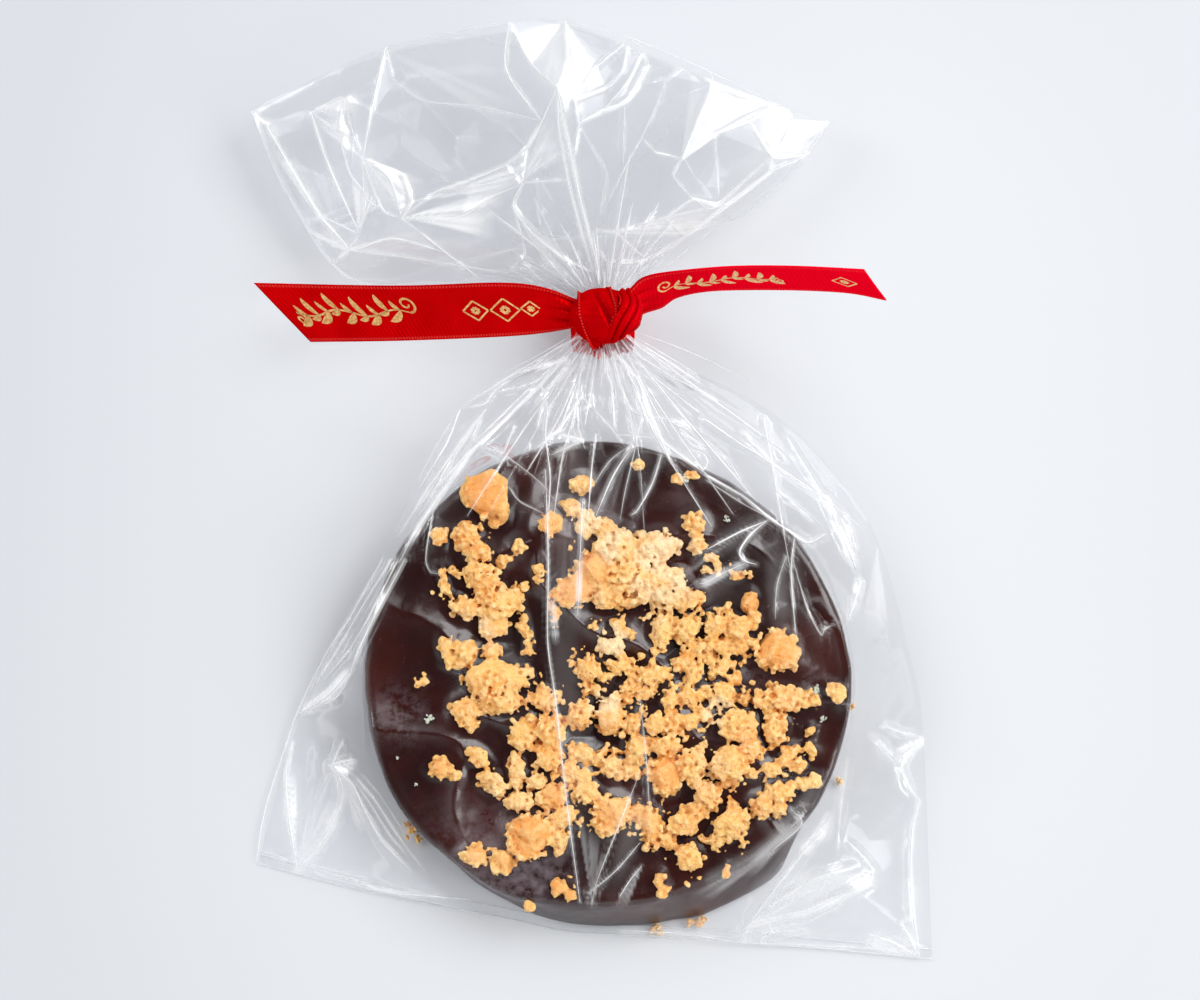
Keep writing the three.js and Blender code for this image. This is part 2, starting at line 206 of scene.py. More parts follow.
def ball(level):
    """Vertices and triangles of a sphere of radius 1, an icosahedron split this many times."""
    golden = (1 + math.sqrt(5)) / 2
    points = [(-1, golden, 0), (1, golden, 0), (-1, -golden, 0), (1, -golden, 0),
              (0, -1, golden), (0, 1, golden), (0, -1, -golden), (0, 1, -golden),
              (golden, 0, -1), (golden, 0, 1), (-golden, 0, -1), (-golden, 0, 1)]
    faces = np.array([(0, 11, 5), (0, 5, 1), (0, 1, 7), (0, 7, 10), (0, 10, 11),
                      (1, 5, 9), (5, 11, 4), (11, 10, 2), (10, 7, 6), (7, 1, 8),
                      (3, 9, 4), (3, 4, 2), (3, 2, 6), (3, 6, 8), (3, 8, 9),
                      (4, 9, 5), (2, 4, 11), (6, 2, 10), (8, 6, 7), (9, 8, 1)])
    points = unit(np.array(points, dtype=float))
    for _ in range(level):
        edges = np.sort(np.vstack([faces[:, [0, 1]], faces[:, [1, 2]], faces[:, [2, 0]]]), axis=1)
        single, where = np.unique(edges, axis=0, return_inverse=True)
        middle = (len(points) + where.reshape(-1)).reshape(3, -1)
        points = np.vstack([points, unit(points[single].mean(axis=1))])
        a, b, c = faces.T
        ab, bc, ca = middle
        faces = np.vstack([np.stack(t, axis=1) for t in
                           ((a, ab, ca), (b, bc, ab), (c, ca, bc), (ab, bc, ca))])
    return points, faces


def repeated(shape, centres, sizes, turns):
    """Many copies of one small shape (vertices, faces): stretched by sizes, turned by the matrices
    in turns, and moved to centres."""
    points, faces = shape
    placed = np.einsum("nij,pj,nj->npi", turns, points, sizes) + centres[:, None, :]
    numbers = faces[None] + len(points) * np.arange(len(centres))[:, None, None]
    return placed.reshape(-1, 3), numbers.reshape(-1, faces.shape[1])


def random_turns(count, random):
    """Random turns as matrices, from random unit quaternions."""
    w, x, y, z = unit(random.normal(size=(count, 4))).T
    return np.stack([
        np.stack([1 - 2 * (y * y + z * z), 2 * (x * y - z * w), 2 * (x * z + y * w)], axis=-1),
        np.stack([2 * (x * y + z * w), 1 - 2 * (x * x + z * z), 2 * (y * z - x * w)], axis=-1),
        np.stack([2 * (x * z - y * w), 2 * (y * z + x * w), 1 - 2 * (x * x + y * y)], axis=-1),
    ], axis=-2)


def joined_parts(parts):
    """Several (vertices, faces) as one."""
    starts = np.cumsum([0] + [len(points) for points, _ in parts[:-1]])
    points = np.vstack([points for points, _ in parts])
    faces = np.vstack([faces + start for (_, faces), start in zip(parts, starts)])
    return points, faces


def mesh_arrays(piece):
    """A piece's vertices in millimetres and their normals."""
    mesh = piece.data
    points = np.empty(3 * len(mesh.vertices), dtype=np.float32)
    normals = np.empty_like(points)
    mesh.vertices.foreach_get("co", points)
    mesh.vertices.foreach_get("normal", normals)
    return points.reshape(-1, 3) / MM, normals.reshape(-1, 3)


# ---- Materials ----


class Socket:
    """The output of a shader node. Arithmetic on it adds Math nodes."""

    def __init__(self, tree, out):
        self.tree = tree
        self.out = out

    def maths(self, operation, *values):
        node = self.tree.nodes.new("ShaderNodeMath")
        node.operation = operation
        for socket, value in zip(node.inputs, values):
            plug(self.tree, socket, value)
        return Socket(self.tree, node.outputs[0])

    def __add__(self, other):
        return self.maths("ADD", self, other)

    def __sub__(self, other):
        return self.maths("SUBTRACT", self, other)

    def __mul__(self, other):
        return self.maths("MULTIPLY", self, other)

    def __truediv__(self, other):
        return self.maths("DIVIDE", self, other)

    def __pow__(self, other):
        return self.maths("POWER", self, other)

    def __rsub__(self, other):
        return self.maths("SUBTRACT", other, self)

    __radd__ = __add__
    __rmul__ = __mul__

    def least(self, other):
        return self.maths("MINIMUM", self, other)

    def most(self, other):
        return self.maths("MAXIMUM", self, other)

    def step(self, low, high):
        """0 below low, 1 above high, straight between."""
        share = (self - low) / (high - low)
        return share.most(0.0).least(1.0)


def plug(tree, socket, value):
    """Gives a node's input a value, or links a Socket to it."""
    if isinstance(value, Socket):
        tree.links.new(value.out, socket)
    else:
        socket.default_value = value


class Finish:
    """A material in the making, with its nodes."""

    def __init__(self, name):
        self.material = bpy.data.materials.new(name)
        self.material.use_nodes = True
        self.tree = self.material.node_tree
        self.tree.nodes.clear()

    def node(self, kind, inputs=None, output=0, **settings):
        """Adds a node of this kind with its settings and its inputs."""
        node = self.tree.nodes.new("ShaderNode" + kind)
        for name, value in settings.items():
            setattr(node, name, value)
        for name, value in (inputs or {}).items():
            plug(self.tree, node.inputs[name], value)
        return Socket(self.tree, node.outputs[output])

    def place(self):
        """Object coordinates, in metres."""
        return self.node("TexCoord", output="Object")

    def noise(self, vector, size, detail=2.0, roughness=0.5):
        """Noise in 0..1 whose patches are about this many millimetres across."""
        return self.node("TexNoise", {"Vector": vector, "Scale": 1 / (size * MM), "Detail": detail,
                                      "Roughness": roughness}, output="Fac")

    def field(self, name):
        """A number that the mesh holds for each vertex."""
        return self.node("Attribute", attribute_name=name, attribute_type="GEOMETRY", output="Fac")

    def blend(self, share, one, other):
        """A colour between two colours."""
        return self.node("Mix", {0: share, 6: one, 7: other}, output=2, data_type="RGBA")

    def relief(self, height, distance):
        """A normal from a height in 0..1 that stands for this many millimetres."""
        return self.node("Bump", {"Height": height, "Distance": distance * MM, "Strength": 1.0})

    def skin(self, **inputs):
        """A Principled shader, whose inputs are named with underscores for spaces."""
        named = {name.replace("_", " "): value for name, value in inputs.items()}
        return self.node("BsdfPrincipled", named)

    def done(self, shader):
        out = self.tree.nodes.new("ShaderNodeOutputMaterial")
        self.tree.links.new(shader.out, out.inputs["Surface"])
        return self.material


def rgb(red, green, blue):
    """A colour given in 0..255 as a screen shows it, as the linear colour that shaders use."""
    shown = np.array([red, green, blue]) / 255
    return (*np.where(shown <= 0.04045, shown / 12.92, ((shown + 0.055) / 1.055) ** 2.4).tolist(), 1.0)


def chocolate_finish():
    """Tempered dark chocolate: nearly black brown, redder where it is thin, with a faint bloom."""
    paint = Finish("dark_chocolate")
    place = paint.place()
    thin = paint.noise(place, 16, 3).step(0.42, 0.72)
    bloom = paint.field("bloom") * paint.noise(place, 2.2, 5, 0.7).step(0.4, 0.7)
    colour = paint.blend(thin, rgb(38, 13, 13), rgb(64, 23, 17))
    colour = paint.blend(bloom * 0.75, colour, rgb(122, 108, 116))
    speck = paint.noise(place, 0.35, 2, 0.5).step(0.72, 0.78)
    colour = paint.blend(speck * 0.5, colour, rgb(120, 84, 66))
    side = paint.field("side")
    dull = paint.noise(place, 9, 4).step(0.3, 0.75)
    grain = paint.noise(place, 0.9, 4, 0.6)
    return paint.done(paint.skin(
        Base_Color=colour,
        Roughness=0.2 + dull * 0.14 + bloom * 0.3 + side * 0.1,
        Normal=paint.relief(grain, 0.05),
        Coat_Weight=0.4 - side * 0.36,
        Coat_Roughness=0.12,
        IOR=1.5,
    ))


def crumb_finish():
    """Baked nougat crumbs: pale golden, with a painted highlight on the grains that stand out, painted shade
    in the hollows, low by the chocolate and in small pits, and a painted glare highlight on the big middle
    mass.
    """
    paint = Finish("nougat_crumb")
    place = paint.place()
    high = paint.field("high")
    whole = paint.field("whole")
    toast = paint.noise(place, 7, 3).step(0.42, 0.66)
    speck = paint.noise(place, 0.5, 3, 0.7)
    cells = paint.node("TexVoronoi", {"Vector": place, "Scale": 1 / (0.9 * MM)}, output="Color")
    mixed = paint.node("SeparateColor", {0: cells}, output=0)
    grit = paint.node("TexVoronoi", {"Vector": place, "Scale": 1 / (0.42 * MM)}, output="Distance")
    colour = paint.blend(toast, rgb(252, 196, 114), rgb(242, 166, 84))
    colour = paint.blend(whole * 0.75, colour, rgb(238, 150, 72))
    colour = paint.blend(mixed.step(0.3, 1.0) * (0.55 - whole * 0.35), colour, rgb(255, 212, 146))
    # Painted highlight: grains that stand out (the "high" field) are painted paler.
    colour = paint.blend(high.step(0.55, 0.9) * (0.7 - whole * 0.3), colour, rgb(255, 224, 166))
    pale = paint.noise(place, 10, 2).step(0.5, 0.66)
    colour = paint.blend(pale * (0.4 - whole * 0.3), colour, rgb(255, 220, 168))
    pale_and_glare = paint.field("pale_and_glare")
    # Paler crumbs, and a painted highlight of glare on the big middle mass.
    colour = paint.blend(pale_and_glare * 0.8, colour, rgb(255, 230, 188))
    # Painted shade: hollows, and grains low by the chocolate, are painted brown.
    colour = paint.blend((1 - high).step(0.5, 0.95) * (0.85 - pale_and_glare * 0.35), colour, rgb(180, 100, 40))
    colour = paint.blend(speck.step(0.6, 0.7) * 0.25, colour, rgb(206, 128, 56))
    # Painted shade: small dark pits painted in by noise, where the skin has no such hollows.
    pits = paint.noise(place, 0.7, 2, 0.5).step(0.7, 0.74)
    colour = paint.blend(pits * (0.8 - pale_and_glare * 0.5), colour, rgb(116, 58, 26))
    return paint.done(paint.skin(
        Base_Color=colour,
        Roughness=0.65,
        Specular_IOR_Level=0.3,
        Normal=paint.relief(speck * 0.6 - grit * (1 - whole * 0.5), 0.2),
        Subsurface_Weight=0.15,
        Subsurface_Radius=(0.0012, 0.0007, 0.0003),
        Subsurface_Scale=1.0,
    ))


def plain_finish(name, colour, roughness, size, depth):
    """One colour with a fine grain."""
    paint = Finish(name)
    grain = paint.noise(paint.place(), size, 4, 0.6)
    return paint.done(paint.skin(
        Base_Color=paint.blend(grain.step(0.35, 0.7), colour, tuple(0.86 * c for c in colour[:3]) + (1.0,)),
        Roughness=roughness,
        Normal=paint.relief(grain, depth),
    ))


def film_finish(name, clear, edge, white, let_through=0.984):
    """Clear film: seen through, with a mirror share that grows at a slant, from clear by edge, and
    white to this share where it is creased and where highlights are painted on. let_through is the
    light that passes it. Where it clings to the cookie's side it mirrors less."""
    paint = Finish(name)
    slant = paint.node("LayerWeight", {"Blend": 0.3}, output="Fresnel")
    crease_and_painted_glint = paint.field("crease")
    tint = (let_through, let_through + 0.002, let_through + 0.006, 1.0)
    through = paint.node("BsdfTransparent", {"Color": tint})
    shine = paint.skin(Base_Color=(0.96, 0.965, 0.98, 1.0), Metallic=1.0, Roughness=0.08)
    milky = paint.skin(Base_Color=(0.97, 0.975, 0.985, 1.0), Metallic=0.12, Roughness=0.25)
    mirror = (clear + slant * edge + crease_and_painted_glint * 0.12) * (1 - paint.field("clings") * 0.93)
    film = paint.node("MixShader", {0: mirror.least(0.9), 1: through, 2: shine})
    return paint.done(paint.node("MixShader", {0: (crease_and_painted_glint * white).least(0.95), 1: film, 2: milky}))


def satin_finish():
    """Red satin: fine ribs across, painted shade in the folds, the right tail painted brighter as a painted
    highlight, and a stitched line by each edge.
    """
    paint = Finish("red_satin")
    uv = paint.node("UVMap", uv_map="UVMap")
    u, v = (paint.node("SeparateXYZ", {"Vector": uv}, output=axis) for axis in ("X", "Y"))
    ribs = paint.node("TexWave", {"Vector": uv, "Scale": 4.0, "Distortion": 0.6, "Detail": 1.0},
                      output="Fac", bands_direction="X")
    to_edge = paint.node("Math", {0: v - 0.5}, operation="ABSOLUTE")
    stitch = paint.node("Math", {0: u * 19.0}, operation="FRACT").step(0.4, 0.6)
    picot = to_edge.step(0.43, 0.445) * (1 - to_edge.step(0.465, 0.48)) * stitch
    place = paint.place()
    shade = paint.noise(place, 5, 2)
    across = paint.node("SeparateXYZ", {"Vector": place}, output="X")
    colour = paint.blend(shade.step(0.3, 0.7), rgb(182, 1, 4), rgb(198, 2, 7))
    # Painted highlight: the ribbon right of the knot (x over 2 mm) is painted a brighter magenta red, for the
    # light that falls on the right tail.
    colour = paint.blend(across.step(0.002, 0.02), colour, rgb(244, 3, 38))
    # Painted shade in the folds and over the knot.
    colour = paint.blend(paint.field("painted_fold_shade") * 0.75, colour, rgb(98, 0, 4))
    colour = paint.blend(picot * 0.45, colour, rgb(236, 84, 76))
    return paint.done(paint.skin(
        Base_Color=colour,
        Metallic=0.3,
        Roughness=0.38,
        Specular_IOR_Level=0.0,
        Specular_Tint=(1.0, 0.05, 0.06, 1.0),
        Normal=paint.relief(ribs * 0.7 + picot * 0.6, 0.06),
    ))


def foil_finish():
    """Gold foil print."""
    paint = Finish("gold_foil")
    worn = paint.noise(paint.place(), 0.5, 3)
    return paint.done(paint.skin(
        Base_Color=paint.blend(worn.step(0.35, 0.65), rgb(250, 208, 138), rgb(214, 146, 84)),
        Metallic=0.4,
        Roughness=0.32,
    ))


def floor_finish():
    """A plain pale sheet with painted light: a little paler to the lower right, and paler round the bag, to
    make up for the shade that falls there.
    """
    paint = Finish("pale_sheet")
    x, y = (paint.node("SeparateXYZ", {"Vector": paint.place()}, output=axis) for axis in ("X", "Y"))
    beyond = y - y.most(0.0).least(0.07)
    # Painted light: paler round the bag, making up for the shade there.
    near = 1 - ((x * x + beyond * beyond) ** 0.5).step(0.045, 0.105)
    # Painted light: paler to the lower right.
    lower_right = (x - y * 0.6).step(-0.166, 0.124)
    colour = paint.blend(
        near,
        paint.blend(lower_right, (0.583, 0.596, 0.632, 1.0), (0.663, 0.680, 0.702, 1.0)),
        paint.blend(lower_right, (0.641, 0.656, 0.693, 1.0), (0.733, 0.751, 0.773, 1.0)))
    return paint.done(paint.skin(Base_Color=colour, Roughness=0.8))


# ---- Camera, floor and light ----


def camera():
    """Looks straight down on the bag, from 1.1 m over its middle."""
    view_width = 210.5  # what the frame's width covers, at the height of the bag's middle
    height = 1100.0
    sensor = 36.0
    data = bpy.data.cameras.new("camera")
    data.sensor_width = sensor
    data.lens = sensor * (height - 7.0) / view_width
    data.clip_start, data.clip_end = 0.01, 20
    eye = bpy.data.objects.new("camera", data)
    eye.location = (-1.4 * MM, 32.6 * MM, height * MM)
    bpy.context.collection.objects.link(eye)
    bpy.context.scene.camera = eye


def floor():
    """A broad flat sheet just under the part."""
    half = 3000.0
    corners = [[-half, -half, -0.05], [half, -half, -0.05], [half, half, -0.05], [-half, half, -0.05]]
    mesh_piece("floor", corners, [[0, 1, 2, 3]], floor_finish(), smooth=False)


def area_light(name, place, size, power):
    """A soft box that faces the middle of the part, from a place in millimetres."""
    data = bpy.data.lights.new(name, "AREA")
    data.shape = "RECTANGLE"
    data.size, data.size_y = (s * MM for s in size)
    data.energy = power
    lamp = bpy.data.objects.new(name, data)
    lamp.location = [p * MM for p in place]
    aim = Vector((0.0, 0.03, 0.008)) - lamp.location
    lamp.rotation_euler = aim.to_track_quat("-Z", "Y").to_euler()
    bpy.context.collection.objects.link(lamp)


def daylight():
    """Pale light from all round and nearly none from overhead, so that film which lies flat shows
    little of it, and slanting faces shine."""
    world = bpy.data.worlds.new("daylight")
    world.use_nodes = True
    tree = world.node_tree
    tree.nodes.clear()
    direction = tree.nodes.new("ShaderNodeTexCoord")
    split = tree.nodes.new("ShaderNodeSeparateXYZ")
    ramp = tree.nodes.new("ShaderNodeValToRGB")
    stops = ((0.0, 0.95), (0.58, 1.0), (0.76, 0.5), (0.9, 0.07), (1.0, 0.03))
    while len(ramp.color_ramp.elements) < len(stops):
        ramp.color_ramp.elements.new(0.5)
    for element, (height, bright) in zip(ramp.color_ramp.elements, stops):
        element.position = height
        element.color = (0.985 * bright, 0.99 * bright, bright, 1)
    glow = tree.nodes.new("ShaderNodeBackground")
    glow.inputs["Strength"].default_value = 1.04
    out = tree.nodes.new("ShaderNodeOutputWorld")
    tree.links.new(direction.outputs["Generated"], split.inputs[0])
    tree.links.new(split.outputs["Z"], ramp.inputs[0])
    tree.links.new(ramp.outputs[0], glow.inputs["Color"])
    tree.links.new(glow.outputs[0], out.inputs[0])
    bpy.context.scene.world = world


# The soft boxes: name, place, width and length, and power.
LAMPS = [
    ("key", (1080, 730, 1420), (1050, 1050), 19.0),
    ("strip", (400, 620, 1480), (220, 900), 2.2),
    ("right", (1300, -500, 1000), (300, 900), 6.0),
    ("left", (-1300, 600, 1000), (400, 900), 7.0),
]


def studio():
    camera()
    floor()
    daylight()
    for lamp in LAMPS:
        area_light(*lamp)
    view = bpy.context.scene.view_settings
    view.view_transform = "Standard"
    view.look = "None"


# ---- The chocolate ----


# The hand-dipped round: angle in degrees, radius at the table, radius of the top's rim. Where the two
# lie far apart, chocolate ran out over the table in a foot.
ROUND = np.array([
    (-180, 42.8, 42.6), (-165, 42.6, 42.4), (-150, 42.4, 42.0), (-140, 42.1, 41.6), (-130, 41.7, 40.8),
    (-120, 42.0, 40.6), (-110, 42.4, 40.0), (-100, 42.9, 39.0), (-91, 43.1, 38.5), (-84, 43.3, 38.1),
    (-79, 43.5, 38.0), (-74, 43.4, 38.0), (-69, 44.6, 38.0), (-63, 44.4, 38.2), (-57, 44.7, 38.7),
    (-48, 45.3, 39.7), (-41, 43.3, 40.5), (-35, 42.6, 41.2), (-25, 42.7, 42.0), (-10, 42.7, 42.3),
    (0, 42.6, 42.4), (20, 42.3, 42.2), (35, 42.1, 42.0), (50, 41.6, 41.5), (65, 41.7, 41.6),
    (80, 42.2, 42.0), (92, 43.0, 42.8), (105, 43.6, 43.4), (120, 43.7, 43.5), (133, 43.6, 43.4),
    (147, 43.9, 43.7), (160, 43.2, 43.0), (170, 43.0, 42.8), (180, 42.8, 42.6),
])


def around_round(angle, column):
    """One of the round's two radii at an angle, with the table's corners eased over a few degrees."""
    degrees = np.arange(-180, 180)
    sharp = np.interp(np.arange(-184, 184), ROUND[:, 0], ROUND[:, column], period=360)
    eased = np.convolve(sharp, np.array([1, 2, 3, 4, 5, 4, 3, 2, 1]) / 25, mode="valid")
    return np.interp(np.degrees(angle), degrees, eased, period=360)


def cookie_radius(angle):
    """The radius at the table at an angle, with small waves."""
    return around_round(angle, 1) + 0.12 * np.sin(7 * angle + 2) + 0.08 * np.sin(13 * angle)


def rim_radius(angle):
    """The radius of the top's rim at an angle."""
    return around_round(angle, 2) + 0.12 * np.sin(9 * angle + 1)


def chocolate_top(x, y):
    """The top face's slow waves."""
    waves = np.sin(0.16 * x + 0.5) * np.cos(0.13 * y - 0.4) + 0.6 * np.sin(0.21 * y - 0.12 * x)
    return COOKIE_HEIGHT + 0.35 * waves


# The lumps of nougat: x, y, length, width, turn in degrees, height, and 1 for a smooth one.
LUMP_ROWS = [
    (-21.4, 33.6, 8.6, 9, 0, 4.4, 1), (-18.4, 30.2, 2.4, 3.6, 0, 2, 1), (-19.6, 28.6, 3, 1.8, 0, 1.2, 1),
    (-29.4, 26.2, 3.8, 3.5, 0, 1.6), (-24.8, 26.4, 4.8, 5.4, -50, 3), (-22.5, 23.3, 4.5, 4.7, -50, 3.2),
    (-22.3, 19.3, 8.1, 5.8, -20, 3.6), (-19.7, 14.7, 8.7, 7.6, -30, 3.8), (-25.2, 13.8, 5.6, 4.2, -20, 3),
    (-20.2, 10.5, 5.8, 4.4, -10, 3), (-16.3, 15.5, 2.9, 5.2, 10, 2.4), (-28.6, 18.4, 1.4, 4.8, 15, 1),
    (-27.1, 20.4, 1.5, 1.3, 0, 0.9), (-15.7, 24.6, 2.6, 2.7, 0, 1.6), (-18.2, 22.3, 3, 2, 30, 0.8),
    (-12.1, 20, 1.4, 4.2, 0, 1), (-14.7, 17.5, 1.3, 1.5, 0, 0.9), (-15, 11.2, 1.7, 3.5, 0, 1.2),
    (-14, 8.1, 1.2, 3.7, 0, 1), (-28.1, 6.8, 2.9, 5.1, 10, 1.6), (-24.8, 6, 5, 5.1, 0, 2.4),
    (-20.4, 6.3, 4.1, 2.9, 10, 1.8), (-26.1, 4.2, 4.7, 2.3, 0, 1.4), (-19.7, 0.4, 10, 9.8, 0, 4.8),
    (-24.8, -4.5, 5.8, 6.4, 0, 3.2), (-15.9, 1.6, 3.3, 4.1, 0, 2.6), (-17.9, -2.8, 6.4, 4.1, 10, 3.2),
    (-11.8, -2.3, 3.5, 3.6, 0, 1.8), (-13.8, -6, 2.3, 2.9, 0, 1.5), (-4.7, 35.3, 4.3, 3.5, 0, 2.2),
    (-10.1, 28.2, 4.4, 4.4, 0, 2.4, 0.6), (-6.4, 31.4, 3.5, 3.3, 0, 1.6), (-3.8, 28.6, 3.6, 5.2, 0, 2.2),
    (-1.2, 27.9, 5.2, 3.8, 0, 2.8), (-5.6, 17.2, 8.6, 6.2, 28, 3.3, 0.6),
    (-2.0, 20.8, 7.8, 6.4, -32, 3.9, 0.6), (1.2, 24.2, 9, 7.6, 0, 4.2),
    (8.6, 24.6, 8.6, 6, 0, 4), (4.6, 18.8, 12.8, 10, 0, 4.6), (10.2, 17.3, 8, 8, 0, 4.2),
    (14.2, 15.5, 5.8, 3.7, 15, 2.4), (-0.5, 15.5, 5.2, 4.1, 0, 3.4), (15, 28.5, 4.1, 4.3, 0, 2.2),
    (15.4, 25.1, 3.3, 4.4, 0, 2.4), (18, 22.7, 2.6, 1.5, -20, 1.1), (17, 20.5, 1.2, 1.2, 0, 0.9),
    (19.1, 20.9, 0.9, 1.5, 0, 0.8), (22.4, 19.3, 2.2, 1.3, 0, 0.9), (5.1, 38.7, 1.9, 1.7, 0, 1.2),
    (12.1, 36.2, 1.5, 1.2, 0, 0.9), (14.5, 37, 2.8, 1.5, 0, 1.1), (24.8, 14.7, 3.1, 4, 0, 2.6, 1),
    (25.3, 11.7, 2.3, 3.5, 0, 1.6), (9.4, 9.7, 4.1, 5.7, 0, 2.6), (13.6, 10.1, 4.9, 4.9, 0, 2.6),
    (18.5, 10.6, 4.7, 4.3, 0, 2.8), (22.5, 10.6, 5, 4.1, 0, 2.6), (19, 7.3, 4.4, 2.8, 0, 2),
    (22.6, 6.7, 3.1, 2, 0, 1.4), (15.8, 7.1, 2, 1.4, 0, 1), (24.6, 7.7, 2.3, 2.3, 0, 1.2),
    (29.3, 6.5, 8, 7.6, 20, 4.8, 0.6), (32.1, 3.9, 2, 2, 0, 1.3), (0.7, 7.2, 5.2, 2.9, 10, 1.4),
    (1.7, 10.5, 0.9, 0.9, 0, 0.8), (3, 9.3, 1.3, 1.5, 0, 0.9), (-2.3, 10.3, 0.6, 0.6, 0, 0.6),
    (-3.5, 3.1, 5.2, 4.3, 0, 2.2), (1.6, 3.4, 2.9, 1.9, 0, 1.2), (-0.3, 1.9, 1.7, 1.2, 0, 0.9),
    (7.4, 2.1, 6.4, 4.2, 0, 2.2), (13.4, 4.2, 4.7, 3.5, 20, 1.8), (14.7, 1.9, 2.3, 3.5, 0, 1.6),
    (17.7, 4.8, 2.1, 1.3, 0, 0.9), (18.6, 2.7, 1.6, 1.9, 0, 1.1), (22.1, 1.6, 2.2, 2, 0, 1.3),
    (20, 3.5, 1.6, 1.7, 0, 1.1), (3.9, -0.2, 3.3, 3.5, 0, 1.6), (6.5, -1.1, 3.5, 2.3, 0, 1.2),
    (10.9, -2.5, 3.1, 4.4, 0, 1.8), (13.8, -1.6, 3.5, 3.3, 0, 1.8), (20.2, -1.2, 3.6, 4.5, 0, 2.2),
    (23.7, -2.3, 2, 2.4, 0, 1.3), (16.4, -1.6, 1.7, 2.3, 0, 1.2), (-4.8, -4.8, 5.4, 5.4, 0, 3.2),
    (0.4, -4.7, 5.6, 7.1, 0, 3.8, 0.6), (8.7, -6.4, 5.6, 4.4, 0, 2.8), (16.9, -5, 2.6, 2.6, 0, 1.6),
    (14.4, -6, 3.5, 2.9, 0, 1.4), (4.2, -6.3, 2.9, 3.5, 0, 1.6), (12, -5.7, 2.3, 2.9, 0, 1.5),
    (29.9, -2, 11.4, 4.9, 0, 3.6), (29.1, -7, 4.8, 7.1, 0, 3.2), (40, -0.9, 3.5, 3.8, 0, 1.8),
    (36.2, -2.5, 1.7, 1.4, 0, 1), (22.5, -6.8, 7.7, 6.1, 0, 3.4), (21.1, -13.3, 7.2, 7.2, 0, 4.2),
    (24.8, -11.2, 4.1, 4.7, 0, 3), (28.2, -14.1, 3.4, 1.7, 0, 1.2), (31, -12.7, 2.4, 2.4, 0, 1.5),
    (32.2, -11.1, 2.7, 1.7, 0, 1.2), (33.2, -13.7, 2.1, 2.7, 0, 1.3), (35.2, -10.8, 1.5, 3.3, 20, 1.1),
    (35.4, -7.7, 1.5, 1.2, 0, 0.9), (10, -15.1, 6.4, 7.1, 0, 4.2, 0.6), (14.7, -13.9, 5.4, 7.8, 0, 3.6),
    (10, -10.2, 5.6, 3.3, 0, 2.4), (4.9, -10.7, 4.1, 6.1, 0, 3), (0.4, -14.1, 4.9, 4.2, 0, 2.6),
    (4.2, -14.7, 3.6, 2.9, 0, 2), (-2.2, -12.4, 2.9, 2.3, 0, 1.6), (-10.2, -7.5, 5.8, 6.5, 0, 3.6),
    (-15, -8.7, 5, 5, 0, 2.4), (-10.2, -12.4, 5.6, 4.9, 0, 3), (-4.8, -11.5, 5.4, 3.8, 0, 2.6),
    (-6.9, -14.4, 3.5, 2.9, 0, 1.8), (-16, -14.7, 3, 6.5, 0, 2), (-15.3, -20, 5.4, 3.6, 10, 2),
    (-9.8, -19.1, 5.4, 4.9, 0, 3, 0.6), (-7.7, -22.6, 5.4, 4.3, 0, 2.8), (-12.7, -16.8, 3.5, 2.9, 0, 1.8),
    (-22.5, -12.4, 5.4, 3, -38, 2), (-20.1, -16.8, 6.1, 4.1, -38, 2.4), (-29, -14.1, 5, 3.6, 0, 2.2, 0.6),
    (-26.8, -15.6, 1.7, 1.5, 0, 1.1), (-13.6, -26.1, 8.4, 8.7, -40, 4.6, 0.6), (-8.5, -26.9, 3, 4.3, 0, 2.4),
    (-23, -29.3, 5.4, 4.1, 0, 2.4, 0.6), (-18.4, -30.5, 4.3, 4.8, 0, 2.4, 0.6),
    (-13.7, -38.3, 2.1, 2.1, 0, 1.4, 1), (-8.9, -34.8, 2.9, 3.5, 0, 1.8, 1),
    (-6.7, -36.3, 2.7, 2.6, 0, 1.6, 1), (-3.6, -18.6, 4.7, 4.3, 0, 2.6), (0.4, -22, 7.7, 6.5, 0, 4, 0.6),
    (-4.5, -15.6, 3.5, 2.9, 0, 1.8), (-0.5, -24.9, 3.5, 2.6, 0, 2), (7.4, -24.4, 4.1, 8.1, 5, 3.4, 0.6),
    (12.9, -23.9, 6.7, 4.4, 10, 2.6), (17.6, -19.1, 4.9, 5.6, 0, 2.8), (15.6, -22, 3.3, 3.3, 0, 1.8),
    (10.6, -26.7, 2.9, 2.9, 0, 1.4), (4.9, -22, 2.3, 2.9, 0, 1.4), (14.2, -29.6, 5, 5.5, 0, 2.6),
    (21.6, -23.9, 7.9, 5.4, 42, 3.2), (26.8, -20.8, 4.9, 4.4, 0, 2.8), (29.9, -18.6, 4.4, 4.1, 0, 3),
    (18.9, -26.7, 2.9, 2.6, 0, 1.4), (29.8, -21.4, 3.5, 2.9, 0, 2), (34.4, -16.9, 4.9, 2.4, 0, 1.8),
    (36.1, -16.3, 2, 2.3, 0, 1.6), (32.4, -16.9, 1.6, 1.6, 0, 1.1), (20.5, -32.2, 1.2, 1.6, 0, 0.9),
    (9, -33.1, 1.5, 1.2, 0, 0.9), (9.4, -36, 1.7, 1.7, 0, 1.2), (8.6, -34.2, 0.8, 0.8, 0, 0.7),
    (20.5, -16.8, 1.7, 1.7, 0, 1.2), (25.1, -15, 2.3, 1.5, 0, 1.1), (-9.4, 13.5, 1.7, 3.3, 10, 1),
    (-32.2, 0.9, 0.7, 0.6, 0, 0.5),
]
LUMPS = np.array([(*row, 0)[:7] for row in LUMP_ROWS], dtype=float)


